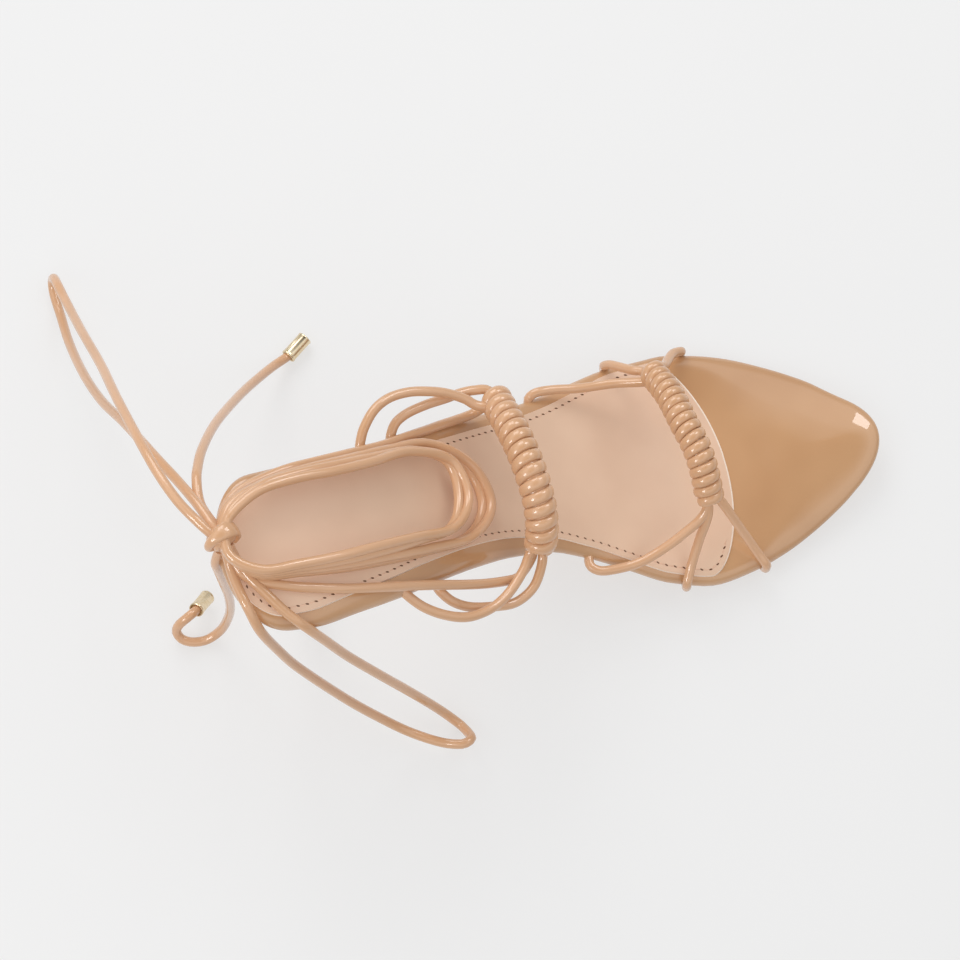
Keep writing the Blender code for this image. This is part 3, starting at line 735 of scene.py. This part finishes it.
INSTEP_LEGS = [
    Leg("lateral", None, [
        (94.8, 35.8, 62.0), (91.3, 38.6, 64.0), (85.6, 41.3, 67.5), (79.6, 42.8, 70.5),
        (73.3, 43.5, 73.2), (66.6, 42.6, 75.6), (61.0, 39.6, 77.2), (56.4, 34.8, 77.6),
        (54.1, 31.1, 76.6), (53.0, 28.5, 75.5), (52.4, 26.4, 74.8)]),
    Leg("lateral", None, [
        (100.0, 40.1, 60.0), (95.4, 41.5, 60.5), (90.5, 41.5, 61.8), (85.4, 40.7, 63.3),
        (78.6, 39.8, 65.6), (71.7, 38.2, 67.6), (67.1, 35.9, 68.6), (64.6, 32.8, 68.0),
        (63.5, 30.3, 66.6), (63.0, 28.4, 65.8)]),
    Leg("medial", None, [
        (98.1, -15.4, 56.5), (94.3, -20.3, 56.0), (87.9, -26.3, 57.5), (80.8, -30.4, 60.3),
        (72.6, -32.1, 64.5), (65.4, -30.4, 68.6), (58.9, -26.6, 72.6), (54.4, -21.6, 76.0),
        (53.0, -18.8, 77.4)]),
    Leg("medial", None, [
        (102.2, -15.9, 55.0), (100.1, -20.8, 53.0), (95.8, -26.2, 52.3), (88.9, -29.5, 53.6),
        (81.2, -29.3, 56.4), (73.7, -28.1, 60.4), (68.7, -25.6, 64.0), (65.6, -21.6, 66.4),
        (65.2, -19.6, 66.0), (65.0, -17.2, 65.8)]),
]
COIL_STEP = 1.0
COIL_TUCK = 6
LEG_STEP = 1.2
BUNDLE_SIDES = 20
BUNDLE_DEPTH = 0.6
WRAP_STEPS = 36
WRAP_SIDES = 16
DIVE_TURNS = 0.3
DIVE_REACH = 0.45
RIM_TURN = [(-0.3, -1.3), (-0.8, 1.2), (-0.95, 3.3), (-0.2, 4.9), (1.6, 5.4)]
print("strap legs:", len(FRONT_LEGS), "at the front and", len(INSTEP_LEGS), "at the instep")

# %% Straps


def edge_point(x, side):
    """The footbed's edge at x in plan, and the direction that points out of it."""
    here = Vector((x, along(SECTIONS, x, side)))
    ahead = Vector((x + 0.5, along(SECTIONS, x + 0.5, side))) - here
    out = Vector((-ahead.y, ahead.x)).normalized()
    return here, out if side == "lateral" else -out


def rim_turn(leg):
    """The end of a leg that goes over the rim: close round it and into the side wall."""
    if leg.rim_x is None:
        return []
    here, out = edge_point(leg.rim_x, leg.end)
    turn = []
    for inset, depth in RIM_TURN:
        plan = here - out * inset
        turn.append((plan.x, plan.y, top_height(leg.rim_x) - depth))
    return turn


def wrap_rings(coil, line):
    """Rings of the wrapping cord: a helix round the bundle that dives into it at both ends."""
    turned = frames(line)
    count = int(coil.wraps * WRAP_STEPS)
    reach = coil.radius - coil.wrap_thickness / 2
    centres = []
    outward = []
    for k in range(count + 1):
        spot = k / count * (len(line) - 1)
        i = min(int(spot), len(line) - 2)
        middle = line[i].lerp(line[i + 1], spot - i)
        side, up = turned[i]
        a = 2 * math.pi * k / WRAP_STEPS
        away = side * math.cos(a) + up * math.sin(a)
        from_end = min(1.0, min(k, count - k) / WRAP_STEPS / DIVE_TURNS)
        dive = DIVE_REACH + (1 - DIVE_REACH) * math.sin(from_end * math.pi / 2)
        centres.append(middle + away * reach * dive)
        outward.append(away)
    rings = []
    for k, (p, away) in enumerate(zip(centres, outward)):
        tangent = (centres[min(k + 1, count)] - centres[max(k - 1, 0)]).normalized()
        away = (away - tangent * away.dot(tangent)).normalized()
        across = tangent.cross(away)
        ring = []
        for j in range(WRAP_SIDES):
            turn = 2 * math.pi * j / WRAP_SIDES
            rise, spread = [math.copysign(abs(part) ** (2 / WRAP_SQUARENESS), part)
                            for part in (math.cos(turn), math.sin(turn))]
            ring.append(p + away * rise * coil.wrap_thickness / 2
                        + across * spread * coil.wrap_width / 2)
        rings.append(ring)
    return rings


def strap(name, coil, legs, node):
    """One strap: the wrapping cord, the bundle inside it and the legs that leave it."""
    line = smooth_line(coil.route, COIL_STEP)
    bm = bmesh.new()
    rows = loft(bm, wrap_rings(coil, line))
    close_ring(bm, rows[0])
    close_ring(bm, rows[-1])
    tube(bm, line[1:-1], coil.radius - coil.wrap_thickness * BUNDLE_DEPTH, sides=BUNDLE_SIDES)
    for leg in legs:
        start = line[COIL_TUCK] if leg.end == "lateral" else line[-1 - COIL_TUCK]
        tube(bm, smooth_line([start] + leg.run + rim_turn(leg), LEG_STEP), CORD_RADIUS)
    piece(name, bm, [CORD_SKIN], [node], sharp=60)


strap("front_strap", FRONT_COIL, FRONT_LEGS, "front_band")
strap("instep_strap", INSTEP_COIL, INSTEP_LEGS, "instep_band")

# %% [markdown]
# ## The ankle tie
# The tie is a single limp cord of rolled patent, 3.3 mm thick. It leaves both ends of the instep strap,
# runs back along the rim, is wound four times on the heel seat and ends in a bow. A limp cord lies where
# it was dropped, so its free stretches are listed as points. The wound turns are worked out from two
# loops instead.

# %% Routes of the tie
OUTER_TURN = [
    (6.2, 13.2), (8.8, 15.8), (12.6, 17.6), (17.3, 18.8), (25.3, 20.2), (34.8, 22.0), (45.5, 23.2),
    (57.3, 24.7), (67.5, 26.1), (74.2, 26.2), (80.0, 25.1), (84.1, 21.9), (86.7, 16.6),
    (88.0, 10.2), (87.5, 3.9), (85.3, -1.3), (80.5, -5.2), (72.0, -7.9), (62.4, -9.7),
    (52.5, -10.9), (39.2, -11.6), (27.0, -11.0), (16.0, -9.9), (8.6, -8.2), (4.9, -5.9),
    (3.0, -2.4), (2.9, 2.4), (4.2, 8.0)]
INNER_TURN = [
    (7.4, 10.4), (10.7, 13.0), (15.3, 15.2), (22.2, 17.0), (32.0, 17.9), (44.0, 18.4), (57.8, 20.2),
    (68.5, 22.3), (73.9, 22.5), (77.8, 20.7), (80.1, 16.9), (80.7, 11.4), (79.5, 4.2), (77.1, -0.6),
    (73.0, -3.4), (63.1, -5.5), (50.2, -7.8), (38.6, -9.3), (27.0, -9.7), (17.0, -9.4), (9.6, -8.5),
    (5.8, -6.7), (4.0, -4.0), (3.6, -0.8), (4.6, 4.6)]
FAR_TIE = [
    (101.2, 36.6, 56.0), (99.2, 37.8, 52.0), (96.2, 37.6, 49.2), (93.6, 37.0, 48.8),
    (88.8, 35.9, 51.3), (81.8, 34.1, 57.0), (76.8, 32.7, 61.0), (68.5, 30.4, 68.2),
    (60.2, 28.1, 75.0), (49.1, 26.3, 83.3), (42.2, 25.4, 87.7), (35.4, 24.5, 92.1),
    (29.5, 23.7, 95.7), (22.7, 22.5, 98.4), (16.5, 21.0, 100.5), (12.3, 19.6, 101.9),
    (9.3, 17.9, 102.9), (6.8, 15.3, 104.1), (5.0, 12.1, 105.5), (4.1, 8.3, 107.0)]
NEAR_TIE = [
    (100.0, -12.9, 56.0), (98.8, -15.6, 53.6), (96.9, -17.8, 52.4), (92.6, -21.1, 51.6),
    (89.2, -21.7, 53.0), (81.3, -21.9, 58.8), (73.7, -21.6, 65.4), (66.2, -21.0, 72.0),
    (58.8, -20.4, 78.0), (51.5, -19.9, 83.6), (37.3, -18.4, 92.1), (25.7, -16.0, 97.6),
    (19.3, -14.2, 100.0), (14.0, -12.2, 101.6), (9.6, -10.2, 102.6), (6.2, -7.4, 103.4),
    (4.6, -3.5, 104.2), (4.4, 0.5, 105.4)]
UPPER_LOOP = [
    (3.4, 2.6, 109.0), (1.4, 4.1, 110.4), (-0.5, 7.0, 111.5), (-3.0, 10.9, 112.0),
    (-7.3, 19.2, 111.4), (-11.0, 30.4, 109.0), (-14.2, 44.9, 101.0), (-17.8, 64.3, 84.0),
    (-20.5, 82.7, 63.0), (-24.3, 102.1, 41.0), (-26.8, 116.1, 25.0), (-28.3, 124.5, 18.0),
    (-29.3, 130.3, 14.5), (-30.0, 134.3, 9.8), (-30.8, 135.6, 5.4), (-31.5, 134.2, 2.8),
    (-31.8, 130.4, 2.2), (-31.5, 123.2, 3.0), (-30.7, 109.2, 12.0), (-27.9, 90.8, 32.0),
    (-23.8, 74.5, 52.0), (-18.5, 60.9, 70.0), (-14.4, 49.8, 83.0), (-10.4, 39.3, 92.5),
    (-5.8, 28.5, 99.5), (-1.7, 17.8, 106.0), (0.9, 9.6, 109.0), (2.4, 5.4, 109.4)]
LOWER_LOOP = [
    (2.9, 0.4, 106.5), (2.9, -1.8, 104.8), (2.9, -4.3, 104.0), (3.1, -7.7, 103.7),
    (3.7, -12.5, 103.6), (4.9, -18.4, 103.0), (6.6, -24.8, 96.5), (10.3, -28.7, 80.0),
    (15.2, -32.6, 62.0), (27.3, -40.8, 32.0), (37.2, -47.4, 15.0), (45.7, -53.5, 7.6),
    (54.5, -59.4, 7.2), (60.6, -62.1, 8.4), (63.3, -62.0, 8.4), (64.8, -60.9, 7.0),
    (64.6, -59.0, 4.8), (63.5, -56.2, 2.8), (61.9, -53.6, 2.4), (56.6, -48.4, 9.0),
    (48.1, -43.1, 27.0), (39.5, -38.8, 48.0), (31.3, -34.4, 68.0), (25.3, -30.9, 86.0),
    (21.6, -28.4, 95.5), (18.9, -25.8, 99.2), (16.4, -22.8, 100.5), (13.8, -18.9, 101.7),
    (11.2, -14.5, 102.5), (8.2, -9.6, 103.3), (6.2, -5.0, 104.0), (4.9, -0.5, 105.3),
    (4.4, 2.2, 106.8)]
UPPER_TAIL = [
    (3.2, 6.2, 107.0), (1.8, 9.8, 105.0), (0.4, 13.6, 103.4), (-0.8, 17.9, 102.4),
    (-0.8, 22.1, 101.4), (-0.1, 26.6, 100.0), (1.0, 31.1, 96.5), (4.2, 40.4, 85.0),
    (10.7, 53.9, 62.5), (20.6, 68.9, 33.5), (28.7, 78.1, 16.0), (34.8, 83.2, 7.6),
    (38.8, 85.5, 4.4), (41.1, 86.7, 3.4), (43.2, 88.1, 3.2)]
LOWER_TAIL = [
    (1.2, 1.8, 105.4), (-0.2, 0.7, 102.0), (-1.2, -0.1, 98.0), (-1.2, -0.5, 91.0),
    (-0.8, -0.4, 72.0), (-0.6, 0.0, 50.0), (-1.4, 0.1, 29.0), (-3.6, -0.2, 14.0), (-7.1, -1.3, 5.0),
    (-12.1, -2.4, 2.0), (-16.8, -1.9, 1.7), (-20.3, 0.0, 2.0), (-21.5, 2.6, 4.2), (-20.1, 3.9, 7.5),
    (-17.7, 4.6, 9.8), (-15.4, 5.5, 10.4), (-13.1, 7.0, 8.7), (-11.6, 8.5, 6.8)]
print("points of the two loops:", len(UPPER_LOOP), "and", len(LOWER_LOOP))

# %% [markdown]
# The four turns lie between an outer and an inner loop in plan, each at its own height over the sole.
# Along the sides they are stacked closely. Over the front of the ring they open into two crossing
# pairs, as loosely wound cord does. At the back they are lifted over the bow's strands, and there the
# cord steps up to its next turn, where the knot hides it.

# %% The wound turns
Turn = namedtuple("Turn", "side_level front_level back_level side_rise front_rise back_rise")
TURNS = [
    Turn(0.00, 0.00, 0.00, 3.0, 3.0, 7.0),
    Turn(0.12, -0.37, 0.20, 6.2, 6.0, 8.6),
    Turn(0.50, 1.00, 0.50, 9.2, 8.0, 10.0),
    Turn(1.00, 0.60, 1.00, 11.5, 9.8, 11.0),
]
FRONT_REACH = 0.13
BACK_REACH = 0.17
STEP_UP = 0.10
TURN_STEPS = 90


def closed_loop(points, count):
    """Evenly spaced points on a smooth closed curve through given points."""
    ring = [Vector(p) for p in points]
    line = smooth_line([ring[-2], ring[-1]] + ring + [ring[0], ring[1], ring[2]], FINE_STEP)
    first = min(range(len(line) // 2), key=lambda i: (line[i] - ring[0]).length)
    last = min(range(len(line) // 2, len(line)), key=lambda i: (line[i] - ring[0]).length)
    return even_line(line[first:last + 1], (last - first) * FINE_STEP / count)[:count]


def lay_of(turn, part):
    """How far in a turn lies, 0 on the outer loop and 1 on the inner, and its rise over the sole."""
    front = math.exp(-((part - 0.5) / FRONT_REACH) ** 2)
    behind = math.exp(-(min(part, 1 - part) / BACK_REACH) ** 2)
    side = Vector((turn.side_level, turn.side_rise))
    to_front = Vector((turn.front_level, turn.front_rise)) - side
    to_back = Vector((turn.back_level, turn.back_rise)) - side
    return side + to_front * front + to_back * behind


def wound_turns():
    """The cord's middle line through all its turns, from the outer one's back to the inner one's."""
    outer = closed_loop([(x, y, 0.0) for x, y in OUTER_TURN[::-1]], TURN_STEPS)
    inner = closed_loop([(x, y, 0.0) for x, y in INNER_TURN[::-1]], TURN_STEPS)
    line = []
    for k in range(len(TURNS) * TURN_STEPS):
        number, step = divmod(k, TURN_STEPS)
        part = step / TURN_STEPS
        lay = lay_of(TURNS[number], part)
        if number + 1 < len(TURNS):
            lay = lay.lerp(lay_of(TURNS[number + 1], 1.0), smooth_step(part, 1 - STEP_UP, 1.0))
        plan = outer[step].lerp(inner[step], lay[0])
        line.append(Vector((plan.x, plan.y, top_height(plan.x) + lay[1])))
    return line


def line_length(line):
    """Length of a middle line in metres."""
    return sum((b - a).length for a, b in zip(line, line[1:])) * MM


turns = wound_turns()
print(f"wound cord: {line_length(turns):.3f} m in {len(TURNS)} turns")

# %% [markdown]
# ### The tie as curves
# A cord could be lofted as a mesh, as the strap's legs are. The tie is made of curves with a round bevel
# instead, because a curve keeps its own length and can be measured.

# %% Cords of the tie
CORD_STEP = 1.6
FIRST_TURN_POINT = 3
TURN_POINT_STRIDE = 6
OUTER_END_IN_KNOT = (3.6, 4.6, 110.6)


def cord(name, line, nodes):
    """A cord as a round curve along a middle line in the shoemaker's millimetres."""
    curve = bpy.data.curves.new(name, "CURVE")
    curve.dimensions = "3D"
    curve.bevel_depth = CORD_RADIUS * MM
    curve.bevel_resolution = 5
    curve.use_fill_caps = True
    spline = curve.splines.new("POLY")
    spline.points.add(len(line) - 1)
    for spot, p in zip(spline.points, line):
        spot.co = (*place(p), 1.0)
    spline.use_smooth = True
    curve.materials.append(CORD_SKIN)
    made = bpy.data.objects.new(name, curve)
    bpy.context.scene.collection.objects.link(made)
    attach(made, "root")
    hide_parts(*nodes)
    return made


turn_points = turns[FIRST_TURN_POINT::TURN_POINT_STRIDE]
far_line = smooth_line(FAR_TIE + turn_points + [OUTER_END_IN_KNOT], CORD_STEP)
routes = {
    "ankle_tie_outer_end": (far_line, ["far_tie", "ankle_coil"], "coiled"),
    "ankle_tie_inner_end": (smooth_line(NEAR_TIE, CORD_STEP), ["near_tie"], "loose"),
    "bow_upper_loop": (smooth_line(UPPER_LOOP, CORD_STEP), ["upper_loop"], "loose"),
    "bow_lower_loop": (smooth_line(LOWER_LOOP, CORD_STEP), ["lower_loop"], "loose"),
    "bow_upper_tail": (smooth_line(UPPER_TAIL, CORD_STEP), ["upper_tail"], "loose"),
    "bow_lower_tail": (smooth_line(LOWER_TAIL, CORD_STEP), ["lower_tail"], "loose"),
}
cords = {name: cord(name, line, nodes) for name, (line, nodes, lay) in routes.items()}
for name, (line, nodes, lay) in routes.items():
    print(f"{name}: {line_length(line):.3f} m")

# %% [markdown]
# ### Knot
# The bow's knot shows as one turn of the cord pulled over all the strands. The turn starts round, is
# flattened into a wider band as it goes over, and has its two ends hidden underneath. The crossings
# below it can't be seen, so a short core fills its middle instead.

# %% Knot
KNOT_CENTRE = Vector((2.8, 4.6, 109.4))
KNOT_ACROSS = Vector((0.93, 0.37, 0.05)).normalized()
KNOT_ALONG = Vector((-0.37, 0.93, 0.0)).normalized()
KNOT_UP = KNOT_ACROSS.cross(KNOT_ALONG)
KNOT_HALF = 4.9
KNOT_RISE = 4.4
BAND_START = math.radians(240)
BAND_SWEEP = math.radians(300)
BAND_WIDENS = (0.2, 0.85)
BAND_HALF = (1.45, 3.5)
BAND_THICK = (1.5, 1.1)
BAND_STEPS = 40
BAND_SIDES = 20
CORE_HALF = 3.2
CORE_STEP = 0.8
CORE_RADIUS = 4.2

rings = []
for k in range(BAND_STEPS + 1):
    t = k / BAND_STEPS
    a = BAND_START - BAND_SWEEP * t
    middle = KNOT_CENTRE + KNOT_ACROSS * KNOT_HALF * math.cos(a) + KNOT_UP * KNOT_RISE * math.sin(a)
    away = (KNOT_ACROSS * math.cos(a) / KNOT_HALF + KNOT_UP * math.sin(a) / KNOT_RISE).normalized()
    spread = smooth_step(t, *BAND_WIDENS)
    half = BAND_HALF[0] + (BAND_HALF[1] - BAND_HALF[0]) * spread
    thick = BAND_THICK[0] + (BAND_THICK[1] - BAND_THICK[0]) * spread
    ring = []
    for j in range(BAND_SIDES):
        turn = 2 * math.pi * j / BAND_SIDES
        ring.append(middle + KNOT_ALONG * half * math.cos(turn) + away * thick * math.sin(turn))
    rings.append(ring)
bm = bmesh.new()
rows = loft(bm, rings)
close_ring(bm, rows[0])
close_ring(bm, rows[-1])
core = [KNOT_CENTRE + KNOT_ALONG * t for t in (-CORE_HALF, 0.0, CORE_HALF)]
tube(bm, even_line(core, CORE_STEP), CORE_RADIUS, sides=16)
piece("bow_knot_turn", bm, [CORD_SKIN], ["bow_knot"], sharp=60)

# %% [markdown]
# ### Cord tips
# Each loose end is crimped into a small stamped tube. It has an open mouth with a rolled collar where
# the cord goes in, a seam along its length where the sheet meets, and a shallow dished end. All but the
# seam is round, so one profile is turned round the cord's last direction.

# %% Cord tips
TIP_PROFILE = [
    (3.0, 0.6), (3.0, 2.05), (0.35, 2.1), (0.1, 2.16), (0.0, 2.3), (0.05, 2.5), (0.25, 2.64),
    (0.55, 2.66), (0.8, 2.6), (0.95, 2.52), (1.15, 2.5), (5.0, 2.5), (8.2, 2.5), (8.5, 2.53),
    (8.75, 2.62), (9.05, 2.62), (9.25, 2.45), (9.3, 2.1), (9.05, 1.7), (8.9, 0.8)]
TIP_SIDES = 40
SEAM_DEPTH = 0.16
SEAM_SIDE = 13
SEAM_SPAN = (1.0, 8.4)
OUTER_WALL = 2.4
UPPER_TIP = ((40.7, 86.3, 3.4), (8.0, 5.4, -0.6))
LOWER_TIP = ((-13.1, 7.0, 8.7), (4.9, 4.9, -6.3))


def cord_tip(name, start, direction, node):
    """A stamped metal tip, turned round the cord's last direction."""
    axis = Vector(direction).normalized()
    side = axis.cross(Vector((0, 0, 1))).normalized()
    up = side.cross(axis)
    rings = []
    for distance, radius in TIP_PROFILE:
        middle = Vector(start) + axis * distance
        seamed = SEAM_SPAN[0] < distance < SEAM_SPAN[1] and radius > OUTER_WALL
        ring = []
        for k in range(TIP_SIDES):
            a = 2 * math.pi * k / TIP_SIDES
            seam = SEAM_DEPTH if seamed and k == SEAM_SIDE else 0.0
            ring.append(middle + (side * math.cos(a) + up * math.sin(a)) * (radius - seam))
        rings.append(ring)
    bm = bmesh.new()
    rows = loft(bm, rings)
    close_ring(bm, rows[0])
    close_ring(bm, rows[-1])
    return piece(name, bm, [GOLD], [node], sharp=50)


upper_tip = cord_tip("upper_cord_tip", *UPPER_TIP, "upper_tip")
lower_tip = cord_tip("lower_cord_tip", *LOWER_TIP, "lower_tip")

# %% [markdown]
# ### The cords' routes again
# A picture doesn't tell how long, thick and limp a cord is, or what is on its far end. Each free
# stretch's route is looked up again below, and nothing more is done with it. Two of the stretches end in
# a metal tip and the others in the knot.

for name, made in cords.items():
    line, nodes, lay = routes[name]

# %% [markdown]
# ## Floor and light tent
# The sandal stands on a pale seamless floor that is lit from below, like a product table. A light tent
# with an open top stands round it: bright on all sides and dark overhead, where the camera looks in. So
# the flat parts of the lacquer look deep, its rounded edges pale, and the shadows stay faint. The tent
# is the world's background, shaded by height, because it has no edges that the lacquer could mirror.

# %% Floor and light tent
FLOOR_SIZE = 6.0
FLOOR_GLOW = 0.485


def matte_paper():
    """Pale matte backdrop paper with hardly visible fibre."""
    made = mottled_finish("backdrop_paper", ("989898", "9A9A9A"), size_mm=60, detail=2.0, spread=1.0)
    set_values(made.shader, roughness=0.95, specular_ior_level=0.0)
    set_values(made.shader, emission_color=(1.0, 1.0, 1.0, 1.0), emission_strength=FLOOR_GLOW)
    return made.material


bm = bmesh.new()
bmesh.ops.create_grid(bm, x_segments=1, y_segments=1, size=FLOOR_SIZE / 2)
mesh = bpy.data.meshes.new("floor")
bm.to_mesh(mesh)
bm.free()
mesh.materials.append(matte_paper())
floor = bpy.data.objects.new("floor", mesh)
bpy.context.scene.collection.objects.link(floor)

TENT_STRENGTH = 1.0
TENT_SHADES = [(0.0, 0.42), (0.4, 0.42), (0.55, 1.0), (0.86, 1.0), (0.96, 0.06)]
tent = bpy.data.worlds.new("open_topped_light_tent")
tent.use_nodes = True
tree = tent.node_tree
towards = add_node(tree, "ShaderNodeTexCoord").outputs["Generated"]
height = add_node(tree, "ShaderNodeSeparateXYZ", links={"Vector": towards}).outputs["Z"]
shade = add_node(tree, "ShaderNodeValToRGB", links={"Fac": height})
while len(shade.color_ramp.elements) < len(TENT_SHADES):
    shade.color_ramp.elements.new(0.5)
for spot, (position, grey) in zip(shade.color_ramp.elements, TENT_SHADES):
    spot.position = position
    spot.color = (grey, grey, grey, 1.0)
tree.links.new(shade.outputs["Color"], tree.nodes["Background"].inputs["Color"])
tree.nodes["Background"].inputs["Strength"].default_value = TENT_STRENGTH
bpy.context.scene.world = tent
print(f"floor: {FLOOR_SIZE} m wide, tent: {len(TENT_SHADES)} shades from the floor up")

# %% [markdown]
# ## Lamps
# An even tent alone would leave the cords flat. A softbox on the far side models them with soft shadows.
# Two panels, on the heel side and on the toe side, cast no shadows and give the lacquer white glints.

# %% Lamps
PANEL_DISTANCE = 1.3


def soft_panel(name, direction, size, watts, shadows):
    """A soft square lamp that faces the shoe from a direction, with or without shadows of its own."""
    lamp = bpy.data.lights.new(name, "AREA")
    lamp.shape = "SQUARE"
    lamp.size = size
    lamp.energy = watts
    lamp.use_shadow = shadows
    made = bpy.data.objects.new(name, lamp)
    away = Vector(direction).normalized()
    made.location = away * PANEL_DISTANCE
    made.rotation_mode = "QUATERNION"
    made.rotation_quaternion = (-away).to_track_quat("-Z", "Y")
    bpy.context.scene.collection.objects.link(made)
    print(f"{name}: {watts} W, {size} m")


soft_panel("heel_side_panel", (-0.68, -0.22, 0.70), size=0.45, watts=5.4, shadows=False)
soft_panel("toe_side_panel", (0.55, 0.45, 0.70), size=0.45, watts=3.2, shadows=False)
soft_panel("far_side_softbox", (-0.05, 0.80, 0.60), size=0.7, watts=4.5, shadows=True)

# %% [markdown]
# ## Camera
# The camera looks almost straight down on the sandal. It stands far off with a long lens, so that the
# raised heel looks only a little larger than the toe on the floor.

# %% Camera
VIEW_AZIMUTH = math.radians(-16.095)
VIEW_ELEVATION = math.radians(76.0)
VIEW_DISTANCE = 1150.0
VIEW_TARGET = (90.14, 16.60, 40.0)
FOCAL_PIXELS = 3446.5
IMAGE_PIXELS = 960

back = Vector((math.sin(VIEW_AZIMUTH) * math.cos(VIEW_ELEVATION),
               -math.cos(VIEW_AZIMUTH) * math.cos(VIEW_ELEVATION), math.sin(VIEW_ELEVATION)))
right = Vector((math.cos(VIEW_AZIMUTH), math.sin(VIEW_AZIMUTH), 0.0))
lens = bpy.data.cameras.new("long_lens")
lens.sensor_width = 36.0
lens.lens = FOCAL_PIXELS / IMAGE_PIXELS * lens.sensor_width
lens.clip_start = 0.05
camera = bpy.data.objects.new("long_lens", lens)
turned = Matrix((right, back.cross(right), back)).transposed().to_4x4()
camera.matrix_world = Matrix.Translation(place(VIEW_TARGET) + back * VIEW_DISTANCE * MM) @ turned
bpy.context.scene.collection.objects.link(camera)
bpy.context.scene.camera = camera
bpy.context.scene.view_settings.view_transform = "Standard"
print(f"lens: {lens.lens:.1f} mm")

# %% [markdown]
# ## Last update
# Last, the view layer is updated once more, so that every piece's position is current.

# %% Update the view layer
bpy.context.view_layer.update()
